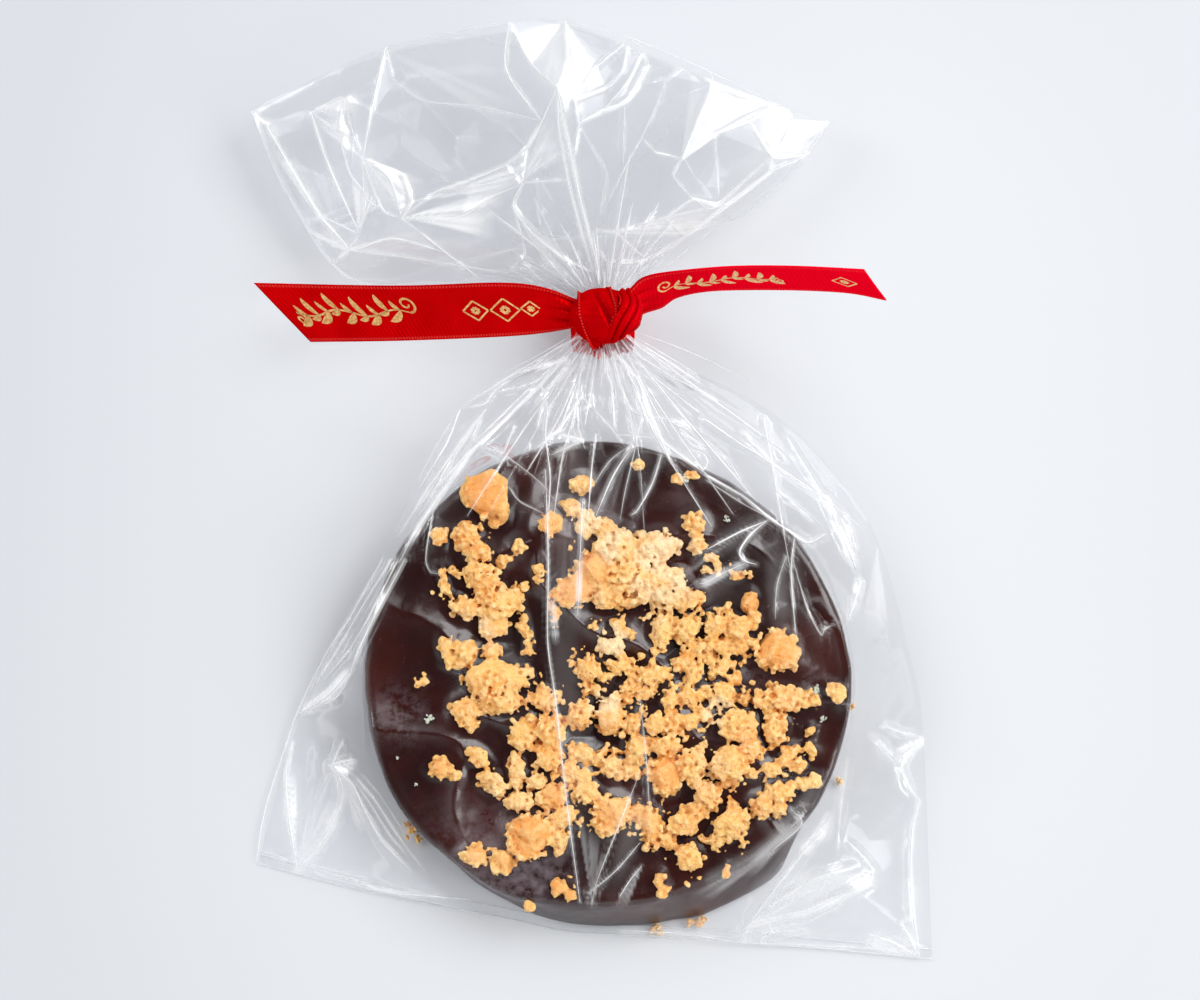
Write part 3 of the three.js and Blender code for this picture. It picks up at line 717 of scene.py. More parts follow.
def off_lumps(x, y, table):
    """Distance in millimetres past each lump's edge, negative inside it, on a last axis of lumps."""
    turn = np.radians(table[:, 4])
    dx = x[..., None] - table[:, 0]
    dy = y[..., None] - table[:, 1]
    along = (dx * np.cos(turn) + dy * np.sin(turn)) / (0.5 * table[:, 2])
    across = (dy * np.cos(turn) - dx * np.sin(turn)) / (0.5 * table[:, 3])
    return (np.hypot(along, across) - 1) * 0.25 * (table[:, 2] + table[:, 3])


def dipped_top(x, y):
    """The chocolate's top: slow waves, soft curved ridges where it set, and a swell round each lump."""
    flat = np.stack([x, y], axis=-1)
    bent = flat + 3.0 * np.stack([cloud(flat, 11, 25), cloud(flat, 11, 27)], axis=-1)
    ridges = (1 - np.abs(clouds(bent, 17, 21, 1))) ** 3
    swell = 1 - smoothstep(off_lumps(x, y, LUMPS).min(axis=-1), -0.6, 1.8)
    small = 0.34 * clouds(bent, 6.5, 31, 2)
    return chocolate_top(x, y) + 1.2 * (ridges - 0.45) + small + 0.35 * swell


def chocolate():
    """Rings of points round Z: out across the underside, up the side, and in across the top. The side
    leans from the radius at the table to the rim's by the height's share to the 1.1."""
    around = 460
    height = COOKIE_HEIGHT
    profile = np.array([
        (0.05, CHOCOLATE_LOW), (0.5, CHOCOLATE_LOW), (0.95, CHOCOLATE_LOW), (0.975, 0.1), (0.99, 0.45),
        (0.998, 1.4), (1.0, 2.6), (1.0, 4.5), (0.999, 6.5), (0.998, 8.5), (0.998, 10.4), (0.997, 11.6),
        (0.991, 12.35), (0.979, 12.75), (0.962, 12.7), (0.94, 12.5), (0.9, 12.45),
    ])
    shares, heights = along_path(profile, np.linspace(0, 1, 64)).T
    inward = np.linspace(0.9, 0.004, 106)[1:]
    shares = np.concatenate([[0.002], shares, inward])
    heights = np.concatenate([[CHOCOLATE_LOW], heights, np.full(len(inward), height)])
    angle = np.linspace(0, 2 * np.pi, around, endpoint=False)
    share, angle = shares[:, None], angle[None, :]
    lean = np.clip(heights[:, None] / height, 0, 1) ** 1.1
    radius = share * lerp(cookie_radius(angle), rim_radius(angle), lean)
    x, y = radius * np.cos(angle), radius * np.sin(angle)
    z = np.broadcast_to(heights[:, None], x.shape).copy()
    high = smoothstep(z, 0.8 * height, height)
    z += high * (dipped_top(x, y) - height)
    side = smoothstep(share, 0.93, 0.985) * smoothstep(z, 0.3, 3) * np.ones_like(x)
    lumpy = clouds(np.stack([x, y, 0.6 * z], axis=-1), 7, 41, 3)
    push = 0.45 * side * lumpy
    x += push * np.cos(angle)
    y += push * np.sin(angle)
    points = np.stack([x, y, z], axis=-1)
    rows = len(shares)
    faces = grid_faces(rows, around, joined=True)
    bottom, top = rows * around, rows * around + 1
    ring = np.arange(around)
    after = np.roll(ring, -1)
    last = (rows - 1) * around
    caps = np.vstack([
        np.stack([np.full(around, bottom), after, ring], axis=1),
        np.stack([np.full(around, top), last + ring, last + after], axis=1),
    ])
    middles = [[0, 0, CHOCOLATE_LOW], [0, 0, points[-1, :, 2].mean()]]
    vertices = np.vstack([points.reshape(-1, 3), middles])
    triangles = np.vstack([faces[:, [0, 1, 2]], faces[:, [0, 2, 3]], caps])
    bloom = np.zeros(len(vertices))
    for bx, by, size in ((-36.5, -5.0, 4.0), (-21.0, -30.5, 8.5), (-13.0, -33.0, 5.0), (21.0, 1.5, 5.5),
                         (-1.0, 2.0, 3.0), (-3.5, 31.0, 4.0)):
        bloom += np.exp(-((vertices[:, 0] - bx) ** 2 + (vertices[:, 1] - by) ** 2) / size**2)
    side = 1 - smoothstep(vertices[:, 2], 0.82 * height, 0.97 * height)
    piece = mesh_piece("chocolate", vertices, triangles, chocolate_finish(),
                       {"bloom": np.clip(bloom, 0, 1), "side": side})
    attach(piece, "root")
    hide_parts("cookie")


# ---- The nougat ----


def chips(centres, sizes, random):
    """A chip at each centre: one of six small balls that random planes cut to flat sides and edges."""
    points, faces = ball(1)
    turns = random_turns(len(centres), random)
    parts = []
    for kind in range(6):
        shaped = points
        for plane in unit(random.normal(size=(7, 3))):
            over = np.maximum(shaped @ plane - lerp(0.4, 0.7, random.random()), 0)
            shaped = shaped - over[:, None] * plane
        part = slice(kind, None, 6)
        parts.append(repeated((1.25 * shaped, faces), centres[part], sizes[part], turns[part]))
    return joined_parts(parts)


# Where the crumbs are paler, and on the big middle mass a painted highlight of the film's glare: x, y and
# radius.
PALE_CRUMBS_AND_GLARE = np.array([(9.5, 21.5, 7.5), (1.6, 24.5, 3.6), (-3.7, 30.0, 3.4), (-0.4, -3.4, 3.2), (0.4, 8.0, 3.4),
                  (-23.2, 9.6, 3.2), (19.4, -4.4, 3.0)])


def lump_cores(lumps):
    """One core for each lump. A smooth one is a ball that random planes cut flat here and there, and a
    rough one is a smaller ball; noise pushes both in and out, and they are stretched to size."""
    points, faces = ball(4)
    parts = []
    for x, y, length, width, turn, height, smooth in lumps:
        random = np.random.default_rng(int(1000 + 37 * abs(x) + 91 * abs(y)))
        rough = clouds(points + random.random(3) * 90, lerp(0.8, 0.9, smooth), 51, 4)[:, None]
        shaped = points * (1 + lerp(0.62, 0.5, smooth) * rough)
        for plane, depth in zip(unit(random.normal(size=(10, 3))), random.random(10)):
            over = np.maximum(shaped @ plane - lerp(0.62, 0.95, depth), 0)
            shaped = shaped - lerp(0.4, 0.45, smooth) * over[:, None] * plane
        along = math.radians(turn)
        spread = lerp(0.42, 0.51, smooth)
        wide = shaped * [spread * length, spread * width, lerp(0.86, 0.84, smooth) * height]
        placed = np.stack([
            x + wide[:, 0] * math.cos(along) - wide[:, 1] * math.sin(along),
            y + wide[:, 0] * math.sin(along) + wide[:, 1] * math.cos(along),
            chocolate_top(x, y) + 0.1 + np.maximum(wide[:, 2], -0.5),
        ], axis=1)
        parts.append((placed, faces))
    return joined_parts(parts)


def grains(lumps, random):
    """Grains all over the rough lumps and round their feet, more on larger lumps."""
    area = lumps[:, 2] * lumps[:, 3]
    counts = ((2.4 * area + 16) * lerp(1, 0.06, lumps[:, 6])).astype(int)
    x, y, length, width, turn, height, smooth = np.repeat(lumps, counts, axis=0).T
    total = len(x)
    round_ = 2 * np.pi * random.random(total)
    ragged = 0.94 + 0.14 * np.sin(5 * round_ + x) + 0.1 * np.sin(9 * round_ + y)
    reach = np.sqrt(random.random(total)) * ragged
    reach = np.where(smooth > 0, lerp(0.78, 1.06, random.random(total)), reach)
    along = 0.5 * length * reach * np.cos(round_)
    across = 0.5 * width * reach * np.sin(round_)
    turn = np.radians(turn)
    px = x + along * np.cos(turn) - across * np.sin(turn)
    py = y + along * np.sin(turn) + across * np.cos(turn)
    dome = np.sqrt(np.clip(1 - reach**2, 0, 1))
    size = lerp(0.26, 0.72, random.random(total) ** 2.0)
    pz = chocolate_top(px, py) + 0.1 + height * dome * lerp(0.66, 0.88, random.random(total)) + 0.3 * size
    sizes = size[:, None] * lerp(0.6, 1.3, random.random((total, 3)))
    return chips(np.stack([px, py, pz], axis=1), sizes, random)


def stray_grains(lumps, random):
    """Short chains of small grains, scattered between the lumps of the thick side of the topping."""
    chains = int(2.6 * len(lumps))
    beside = lumps[random.integers(0, len(lumps), chains)]
    round_ = 2 * np.pi * random.random(chains)
    reach = 1.05 + 0.8 * random.random(chains)
    x = beside[:, 0] + 0.5 * beside[:, 2] * reach * np.cos(round_)
    y = beside[:, 1] + 0.5 * beside[:, 3] * reach * np.sin(round_)
    thick = (x > -14) & (y < 14) & (y > -29) & (np.hypot(x - 9, y + 8) < 25)
    kept = (np.hypot(x, y) < 37) & (thick | (random.random(chains) < 0.22))
    x, y, thick = x[kept], y[kept], thick[kept]
    links = random.integers(1, np.where(thick, 12, 6))
    x, y = np.repeat(x, links), np.repeat(y, links)
    size = lerp(0.24, 0.62, random.random(len(x)) ** 1.6)
    x += random.normal(0, 0.75, len(x))
    y += random.normal(0, 0.75, len(x))
    pile = 0.9 * random.random(len(x)) ** 2
    centres = np.stack([x, y, chocolate_top(x, y) + 0.3 + 0.5 * size + pile], axis=1)
    sizes = size[:, None] * lerp(0.7, 1.3, random.random((len(x), 3)))
    return chips(centres, sizes, random)


def remeshed(piece, voxel):
    """Wraps a piece of many overlapping shapes in one skin, on a grid of cubes of this size."""
    wrap = piece.modifiers.new("wrap", "REMESH")
    wrap.mode = "VOXEL"
    wrap.voxel_size = voxel * MM
    wrap.use_smooth_shade = True
    seen = piece.evaluated_get(bpy.context.evaluated_depsgraph_get())
    mesh = bpy.data.meshes.new_from_object(seen)
    piece.modifiers.clear()
    piece.data = mesh
    return piece


def bumps_and_pits(mesh, points, normals, times):
    """How far each vertex stands out of its surroundings: its distance, along the normal, from where
    it lies after its neighbours' average has been taken this many times."""
    edges = np.empty(2 * len(mesh.edges), dtype=np.int32)
    mesh.edges.foreach_get("vertices", edges)
    one, other = np.concatenate([edges.reshape(-1, 2), edges.reshape(-1, 2)[:, ::-1]]).T
    count = np.bincount(one, minlength=len(points))
    calm = points
    for _ in range(times):
        calm = np.stack([np.bincount(one, calm[other, k], len(points)) / count for k in range(3)], axis=1)
    return np.einsum("ij,ij->i", points - calm, normals)


def crumbs(name, lumps, random, finish):
    """The lumps, grains and strays wrapped in one skin, then roughened: knobs, grit and small pits."""
    points, faces = joined_parts([lump_cores(lumps), grains(lumps, random), stray_grains(lumps, random)])
    piece = remeshed(mesh_piece(name, points, faces, finish), CRUMB_VOXEL)
    points, normals = mesh_arrays(piece)
    knobs = clouds(points, 1.5, 61, 2)
    slanted = np.stack([points[:, 0] + 0.6 * points[:, 2], points[:, 1] - 0.5 * points[:, 2]], axis=1)
    grain = 1 - np.minimum(nearest_square(slanted, 0.7, 71) / 0.26, 1)
    pits = smoothstep(cloud(points, 0.9, 81), 0.45, 0.8)
    smooth = LUMPS[LUMPS[:, 6] > 0]
    within = 1 - smoothstep(off_lumps(points[:, 0], points[:, 1], smooth), -1.6, 0.2)
    rough = 1 - (within * smooth[:, 6]).max(axis=-1)
    push = 0.16 * knobs + 0.1 * clouds(points, 0.9, 65, 2) + lerp(0.05, 0.1, rough) * (grain - 0.5)
    push -= 0.3 * pits * lerp(0.6, 1, rough)
    points = points + normals * push[:, None]
    mesh = piece.data
    mesh.vertices.foreach_set("co", (points * MM).astype(np.float32).ravel())
    mesh.update()
    points, normals = mesh_arrays(piece)
    # Painted light for the shader's "high" field: a painted highlight where the skin stands out, and painted
    # shade in its hollows and low by the chocolate.
    foot = 1 - smoothstep(points[:, 2] - chocolate_top(points[:, 0], points[:, 1]), 0.4, 2)
    painted_light_share = 0.55 + 1.3 * bumps_and_pits(mesh, points, normals, 8) - 0.2 * foot
    # The pale patches: paler crumbs, and a painted glare highlight on the big middle mass.
    flat = points[:, None, :2] - PALE_CRUMBS_AND_GLARE[:, :2]
    pale_and_glare = (1 - smoothstep(np.hypot(*flat.transpose(2, 0, 1)) / PALE_CRUMBS_AND_GLARE[:, 2], 0.6, 1.2)).max(axis=-1)
    pale_and_glare *= smoothstep(clouds(points, 2.6, 91, 2), -0.5, 0.3)
    for field, values in (("high", np.clip(painted_light_share, 0, 1)), ("whole", 1 - rough), ("pale_and_glare", pale_and_glare)):
        mesh.attributes.new(field, "FLOAT", "POINT").data.foreach_set("value", values.astype(np.float32))
    mesh.materials.clear()
    mesh.materials.append(finish)
    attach(piece, "root")
    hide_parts("cookie")


def nougat():
    """The topping in four pieces, each with the lumps of a quarter round the cookie's middle."""
    random = np.random.default_rng(11)
    finish = crumb_finish()
    quarter = np.floor(np.degrees(np.arctan2(LUMPS[:, 1] + 3, LUMPS[:, 0] - 3)) / 90 + 0.5) % 4
    for number, name in enumerate(("crumbs_right", "crumbs_back", "crumbs_left", "crumbs_front")):
        crumbs(name, LUMPS[quarter == number], random, finish)


# ---- Small things by the crumbs ----

# Pale flakes on the chocolate, and crumbs that fell beside the cookie: x, y, height, size.
FLAKES = [(-31.2, -5.6, 13.0, 0.9), (13.9, 36.5, 13.2, 0.9), (36.3, -0.7, 13.0, 0.9),
          (37.5, -5.6, 13.0, 0.6), (-33.6, -17.0, 12.9, 0.4), (-36.8, -12.4, 12.9, 0.3),
          (20.9, 29.2, 13.1, 0.6)]
FALLEN = [(-34.6, -26.0, 1.2, 1.1), (-33.5, -27.2, 0.9, 0.8), (-35.3, -24.6, 0.8, 0.6),
          (8.6, -43.2, 1.2, 1.2), (15.6, -42.0, 1.3, 1.2), (17.0, -41.4, 1.0, 0.8),
          (40.6, -17.0, 1.2, 0.9), (42.8, -4.0, 1.0, 0.7)]


def clusters(name, rows, flat, finish, seed):
    """A few grains thrown together at each place."""
    random = np.random.default_rng(seed)
    x, y, z, size = np.repeat(np.array(rows), 9, axis=0).T
    thrown = random.normal(0, 0.45, (len(x), 3)) * size[:, None] * [1, 1, 0.4 * flat]
    centres = np.stack([x, y, z], axis=1) + thrown
    sizes = 0.42 * size[:, None] * lerp(0.5, 1.3, random.random((len(x), 3))) * [1, 1, flat]
    points, faces = repeated(ball(1), centres, sizes, random_turns(len(x), random))
    piece = mesh_piece(name, points, faces, finish, {"high": np.full(len(points), 0.5),
                                                    "whole": np.zeros(len(points))})
    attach(piece, "root")
    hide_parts("cookie")


# ---- The bag's film ----

# The bag below the ribbon: its left and right edges up to the neck, and its hem.
LEFT_SIDE = [(-61.8, -31.6), (-55.6, -9.5), (-49.6, 5.6), (-39.7, 22.6), (-26.2, 48.2), (-7.5, 59.8),
             (-5.5, 65.5)]
RIGHT_SIDE = [(57.2, -48.4), (55.6, -8.6), (53.3, 4.6), (47.7, 24.7), (40.7, 36.1), (27.5, 48.8), (5.6, 59.8),
              (3.7, 65.5)]
HEM_LINE = [(-61.8, -31.6), (-42.5, -36.5), (-18.0, -41.2), (-8.0, -43.4), (2.0, -44.1), (12.0, -44.6),
            (26.7, -45.6), (57.2, -48.4)]


def polar_outline():
    """The bag's edge as angles about the cookie's middle and distances from it, by angle."""
    shares = np.linspace(0, 1, 240)
    edge = np.vstack([along_path(line, shares) for line in (LEFT_SIDE, RIGHT_SIDE, HEM_LINE)])
    angle = np.arctan2(edge[:, 1], edge[:, 0])
    order = np.argsort(angle)
    return angle[order], np.hypot(edge[:, 0], edge[:, 1])[order]


EDGE_ANGLES, EDGE_REACH = polar_outline()


def edge_heights(y):
    """The bottom and top of the bag's edge: flat at the hem, round at the neck."""
    middle = lerp(0.25, NECK["z"], smoothstep(y, -20, 56))
    half = lerp(0.1, NECK_FILM, smoothstep(y, 50, 60))
    return np.maximum(middle - half, FILM_LOW), middle + half


def over_cookie(x, y):
    """The film over the nougat: a taut sheet that slopes evenly down to the rim, lifted into a tent
    over each lump that stands higher."""
    lift = np.zeros_like(x)
    for row in LUMPS[LUMPS[:, 5] >= 2.6]:
        edge = off_lumps(x, y, row[None])[..., 0]
        lift = np.maximum(lift, (0.9 * row[5] + 0.35) * (1 - smoothstep(edge, -0.5, 8)))
    taut = np.interp(np.hypot(x, y), [0, 26, 43], [3.4, 3.4, 0.8])
    return chocolate_top(x, y) + np.maximum(taut, lift)


def body_height(x, y, upper):
    """The film's smooth height: over the cookie, then straight down from its shoulder to the edge."""
    angle = np.arctan2(y, x)
    distance = np.hypot(x, y)
    rim = rim_radius(angle) + 0.6
    edge = np.interp(angle, EDGE_ANGLES, EDGE_REACH, period=2 * np.pi)
    share = np.clip((distance - rim) / np.maximum(edge - rim, 0.1), 0, 1)
    low, high = edge_heights(y)
    if not upper:
        return FILM_LOW + low * share**2
    inner = np.minimum(distance, rim)
    over = over_cookie(inner * np.cos(angle), inner * np.sin(angle))
    return lerp(over, high, share**0.85)


# Folds that were pressed into the film over the cookie: half width and height of the ridge, how
# white its crease is as a painted highlight, half the width of that painted white, and the route.
BODY_FOLDS = [
    (1.6, 1.2, 1.0, 0.9, [(-45.1, 3.1), (-49.3, -1.7), (-54.6, -5.1)]),
    (1.4, 0.8, 0.5, 0.3, [(-45.0, 2.3), (-47.8, -2.2), (-54.6, -5.2)]),
    (1.4, 0.9, 1.0, 0.7, [(-56.1, -10.2), (-56.7, -15.9), (-56.3, -21.6), (-54.8, -32.1)]),
    (1.6, 1.0, 0.8, 0.9, [(-54.7, -32.3), (-51.6, -29.1), (-48.6, -24.7), (-46.5, -19.7),
        (-46.8, -16.5), (-48.4, -14.2)]),
    (1.0, 0.7, 0.7, 0.3, [(-48.4, -14.2), (-47.4, -11.7), (-46.2, -9.4)]),
    (1.0, 0.7, 0.9, 0.3, [(-48.8, -14.0), (-46.7, -13.3), (-44.3, -12.8)]),
    (1.6, 1.0, 0.7, 0.5, [(-48.4, -14.2), (-44.8, -17.1), (-42.5, -21.6), (-39.5, -27.0), (-34.5, -32.5)]),
    (1.2, 0.7, 0.3, 0.4, [(-44.8, -15.2), (-41.0, -19.4), (-36.4, -26.6), (-31.9, -32.7)]),
    (1.0, 0.5, 0.3, 0.3, [(-61.7, -29.2), (-58.1, -30.0), (-55.2, -31.6)]),
    (1.4, 0.5, 0.2, 0.5, [(-51.4, -12.1), (-52.0, -17.8), (-53.9, -25.4)]),
    (1.2, 0.5, 0.25, 0.5, [(-48.6, -15.9), (-51.2, -21.6), (-52.8, -25.8)]),
    (0.8, 0.6, 0.8, 0.25, [(-43.3, -34.8), (-40.2, -36.1), (-35.7, -36.8), (-30.3, -37.2), (-24.2, -37.6)]),
    (0.8, 0.5, 0.5, 0.2, [(-52.2, -32.7), (-46.7, -33.8), (-42.5, -34.9)]),
    (0.8, 0.8, 0.9, 0.25, [(-39.6, 22.1), (-45.5, 11.5), (-49.5, 5.8), (-54.6, -4.5), (-56.8, -10.6),
        (-60.4, -21.6), (-62.0, -30.8)]),
    (0.9, 0.8, 0.8, 0.3, [(-37.9, 22.1), (-43.8, 12.6), (-47.8, 5.8), (-51.4, 0.2)]),
    (0.7, 0.6, 0.6, 0.2, [(-38.7, 22.1), (-44.0, 14.1), (-49.3, 5.0)]),
    (1.1, 1.2, 1.0, 0.5, [(-35.5, 22.1), (-40.2, 13.2), (-43.3, 6.9), (-45.1, 2.3)]),
    (0.8, 0.8, 0.7, 0.25, [(-36.6, 22.1), (-41.7, 12.2), (-45.5, 6.1), (-50.1, 0.8)]),
    (0.8, 0.8, 0.9, 0.2, [(-25.7, 49.1), (-28.3, 42.4), (-33.0, 34.6)]),
    (0.8, 0.8, 0.7, 0.25, [(-21.4, 48.4), (-25.2, 43.3), (-29.5, 37.4), (-33.0, 32.4)]),
    (1.2, 1.2, 1.0, 0.35, [(-7.4, 57.4), (-13.9, 50.7), (-19.8, 44.9), (-24.8, 40.2), (-29.8, 34.9),
        (-33.0, 31.6)]),
    (0.8, 0.7, 0.8, 0.3, [(-23.6, 44.9), (-27.3, 39.9), (-30.2, 34.3), (-33.0, 29.9)]),
    (0.8, 0.6, 0.6, 0.5, [(-22.2, 47.1), (-23.6, 43.3), (-22.6, 42.4)]),
    (0.9, 0.9, 0.9, 0.5, [(-22.7, 46.7), (-26.2, 41.7), (-31.2, 34.8), (-36.5, 26.6)]),
    (1.0, 1.0, 1.0, 0.6, [(-24.0, 41.0), (-28.3, 34.8), (-33.0, 27.9), (-36.5, 21.6)]),
    (0.8, 0.6, 0.6, 0.2, [(-25.1, 39.3), (-28.7, 33.5), (-30.5, 30.4), (-31.6, 24.1), (-31.7, 21.6),
        (-30.9, 20.0), (-29.1, 19.8)]),
    (0.7, 0.5, 0.6, 0.25, [(-25.5, 43.8), (-27.4, 38.5), (-29.0, 35.7)]),
    (0.8, 0.9, 0.8, 0.2, [(-3.8, 61.8), (-12.9, 56.8), (-25.8, 49.0)]),
    (1.0, 1.1, 1.0, 0.55, [(-7.3, 57.1), (-11.1, 56.0), (-16.1, 54.8)]),
    (0.8, 0.7, 0.8, 0.3, [(-12.9, 56.8), (-16.1, 54.8), (-19.5, 52.1), (-21.7, 49.3), (-25.5, 49.0)]),
    (0.8, 0.8, 0.6, 0.2, [(-7.9, 56.8), (-12.9, 53.1), (-19.5, 51.5)]),
    (1.0, 1.0, 1.0, 0.6, [(-7.0, 56.2), (-8.9, 53.4), (-12.5, 50.0)]),
    (0.8, 0.8, 0.7, 0.3, [(-14.5, 52.4), (-16.7, 52.1), (-19.2, 51.5)]),
    (0.7, 0.7, 0.5, 0.2, [(-6.4, 55.3), (-8.2, 51.8), (-11.1, 47.4), (-11.4, 43.0)]),
    (0.7, 0.8, 0.8, 0.25, [(-11.7, 52.4), (-10.6, 48.7), (-10.9, 43.7), (-10.1, 36.8), (-10.4, 29.2)]),
    (0.9, 0.9, 0.9, 0.4, [(-11.4, 49.0), (-12.3, 45.2)]),
    (0.9, 1.0, 1.0, 0.35, [(-4.6, 50.9), (-6.0, 48.7), (-8.9, 44.6), (-12.9, 41.2)]),
    (0.9, 0.9, 1.0, 0.6, [(-9.2, 44.0), (-4.8, 43.0), (-7.0, 41.8), (-9.8, 40.5)]),
    (0.7, 0.8, 0.7, 0.2, [(-4.3, 57.8), (-5.4, 49.9), (-5.1, 44.9), (-4.0, 41.5)]),
    (0.7, 0.7, 0.7, 0.2, [(-5.1, 52.7), (-6.0, 47.4), (-7.9, 40.5), (-9.5, 29.2)]),
    (0.7, 0.6, 0.6, 0.2, [(-7.3, 53.5), (-4.8, 52.9), (-4.6, 50.9), (-2.1, 47.7)]),
    (0.7, 0.7, 0.5, 0.3, [(-2.9, 52.1), (-2.6, 49.0), (0.9, 44.6), (3.0, 41.8)]),
    (0.8, 0.8, 0.8, 0.2, [(-2.1, 44.0), (-2.8, 38.6), (-3.5, 29.2)]),
    (0.8, 0.7, 0.4, 0.2, [(-22.6, 42.4), (-17.3, 39.9), (-11.7, 35.5), (-8.2, 31.1)]),
    (0.8, 0.7, 0.5, 0.2, [(-17.3, 34.9), (-15.4, 32.4), (-11.1, 30.2)]),
    (0.7, 0.6, 0.7, 0.25, [(-16.4, 45.5), (-18.3, 40.8), (-20.5, 42.1)]),
    (0.8, 0.6, 0.9, 0.3, [(-13.6, 42.4), (-13.7, 41.2)]),
    (0.7, 0.9, 0.6, 0.3, [(-0.2, 57.8), (0.7, 52.1), (1.0, 45.5)]),
    (0.9, 1.1, 1.0, 0.4, [(1.0, 58.4), (5.4, 53.8), (7.3, 47.7), (9.6, 42.4), (11.2, 38.8)]),
    (0.8, 0.8, 0.7, 0.2, [(3.7, 57.1), (5.9, 53.1), (7.7, 49.3), (10.9, 43.7)]),
    (0.8, 0.9, 0.8, 0.25, [(4.0, 61.0), (10.9, 56.5), (16.1, 53.1)]),
    (0.8, 0.9, 0.6, 0.2, [(3.7, 59.0), (10.9, 54.3), (16.1, 51.6)]),
    (0.8, 0.8, 0.5, 0.2, [(4.9, 56.5), (10.9, 51.8), (16.1, 47.7)]),
    (0.8, 0.7, 0.6, 0.3, [(2.1, 50.2), (5.6, 47.4), (12.1, 46.5), (16.1, 44.9)]),
    (0.7, 0.5, 0.5, 0.2, [(1.3, 44.0), (4.6, 43.7), (9.2, 43.2)]),
    (1.0, 1.0, 0.9, 0.7, [(4.1, 41.8), (0.9, 36.8), (-2.1, 29.9)]),
    (0.8, 0.7, 0.5, 0.4, [(3.4, 41.8), (0.2, 39.3), (-2.9, 34.6)]),
    (0.7, 0.7, 0.5, 0.25, [(5.7, 47.4), (4.9, 42.4), (3.0, 34.3), (2.1, 29.2)]),
    (0.9, 0.9, 0.9, 0.4, [(9.3, 40.5), (7.7, 35.5), (5.1, 30.8), (4.0, 30.0)]),
    (1.0, 1.2, 1.0, 0.4, [(7.3, 46.7), (9.1, 43.2), (13.1, 40.0), (17.2, 37.1)]),
    (1.0, 1.2, 0.9, 0.3, [(9.1, 43.2), (11.1, 38.8)]),
    (1.0, 1.2, 1.0, 0.35, [(17.2, 36.8), (23.3, 33.4), (27.7, 29.8), (30.9, 27.6), (34.7, 25.2),
        (37.9, 26.6)]),
    (0.8, 0.8, 0.5, 0.3, [(17.2, 36.0), (23.3, 32.1), (28.0, 29.5)]),
    (1.1, 1.0, 1.0, 0.35, [(27.7, 29.0), (23.3, 27.2), (19.8, 25.4), (17.2, 24.0)]),
    (1.1, 1.0, 1.0, 0.45, [(27.7, 29.0), (24.8, 26.6), (22.9, 23.7), (23.6, 22.1), (25.8, 21.4)]),
    (1.3, 1.1, 0.9, 0.8, [(23.9, 21.6), (20.7, 20.2), (17.2, 18.3), (15.8, 18.0)]),
    (0.9, 0.9, 0.7, 0.2, [(27.3, 46.7), (28.6, 39.4), (30.2, 29.2), (31.8, 20.3)]),
    (0.9, 0.9, 0.8, 0.3, [(32.5, 26.3), (31.9, 20.3), (32.6, 9.4)]),
    (0.8, 0.8, 0.5, 0.4, [(30.9, 22.5), (29.4, 17.6), (29.1, 11.8)]),
    (1.0, 1.0, 0.7, 0.2, [(16.9, 46.7), (23.3, 42.3), (30.0, 38.2), (37.9, 32.8), (44.2, 28.0)]),
    (1.2, 1.0, 0.7, 0.8, [(23.6, 44.3), (26.5, 41.1), (29.4, 38.2)]),
    (1.4, 1.0, 0.9, 0.8, [(38.2, 32.7), (40.2, 28.0), (42.8, 22.2), (43.5, 20.3)]),
    (1.0, 0.8, 0.7, 0.3, [(31.5, 43.2), (37.6, 33.3), (38.2, 32.7)]),
    (0.9, 0.8, 0.6, 0.5, [(41.7, 30.1), (43.4, 23.4)]),
    (0.8, 0.7, 0.5, 0.2, [(32.1, 22.5), (34.7, 13.8), (37.1, 9.1), (37.9, 10.3), (39.8, 10.9)]),
    (0.8, 0.8, 0.6, 0.25, [(14.9, 41.1), (16.6, 40.6), (17.4, 39.1), (16.1, 37.4)]),
    (0.8, 0.7, 0.5, 0.3, [(17.2, 42.9), (20.7, 40.0), (23.6, 35.3)]),
    (0.8, 0.7, 0.5, 0.3, [(12.6, 44.9), (16.1, 42.3), (19.0, 41.4)]),
    (0.9, 0.8, 0.6, 0.3, [(29.4, 41.4), (31.8, 39.1)]),
    (0.9, 0.9, 0.5, 0.5, [(29.1, 38.2), (29.4, 34.4), (33.5, 31.5), (37.3, 28.0)]),
    (0.9, 0.9, 0.7, 0.5, [(44.2, 18.2), (42.8, 13.8), (41.9, 11.8)]),
    (1.2, 1.0, 0.9, 0.35, [(56.0, -9.4), (52.7, -11.9), (51.5, -14.4), (52.7, -17.6), (54.9, -20.3)]),
    (1.2, 0.9, 0.7, 0.8, [(55.7, -9.8), (54.2, -11.0), (52.3, -12.7)]),
    (1.4, 1.0, 0.9, 0.4, [(54.9, -20.3), (53.7, -25.0), (53.3, -31.5), (53.5, -37.6), (54.9, -48.2)]),
    (1.6, 1.3, 0.8, 0.4, [(23.4, -45.4), (24.9, -41.8), (29.5, -34.9), (34.4, -28.4), (38.8, -22.7)]),
    (1.6, 1.0, 0.9, 1.1, [(34.4, -28.4), (37.1, -25.8), (38.6, -22.9)]),
    (1.4, 1.0, 0.7, 0.4, [(24.9, -42.0), (29.5, -37.8), (36.3, -33.6), (44.1, -31.5)]),
    (1.6, 1.1, 0.95, 0.8, [(25.3, -42.1), (34.8, -39.9), (40.5, -37.2), (45.5, -34.7), (46.5, -32.6)]),
    (1.0, 0.8, 0.5, 0.25, [(46.6, -32.4), (44.7, -30.0), (41.9, -27.2)]),
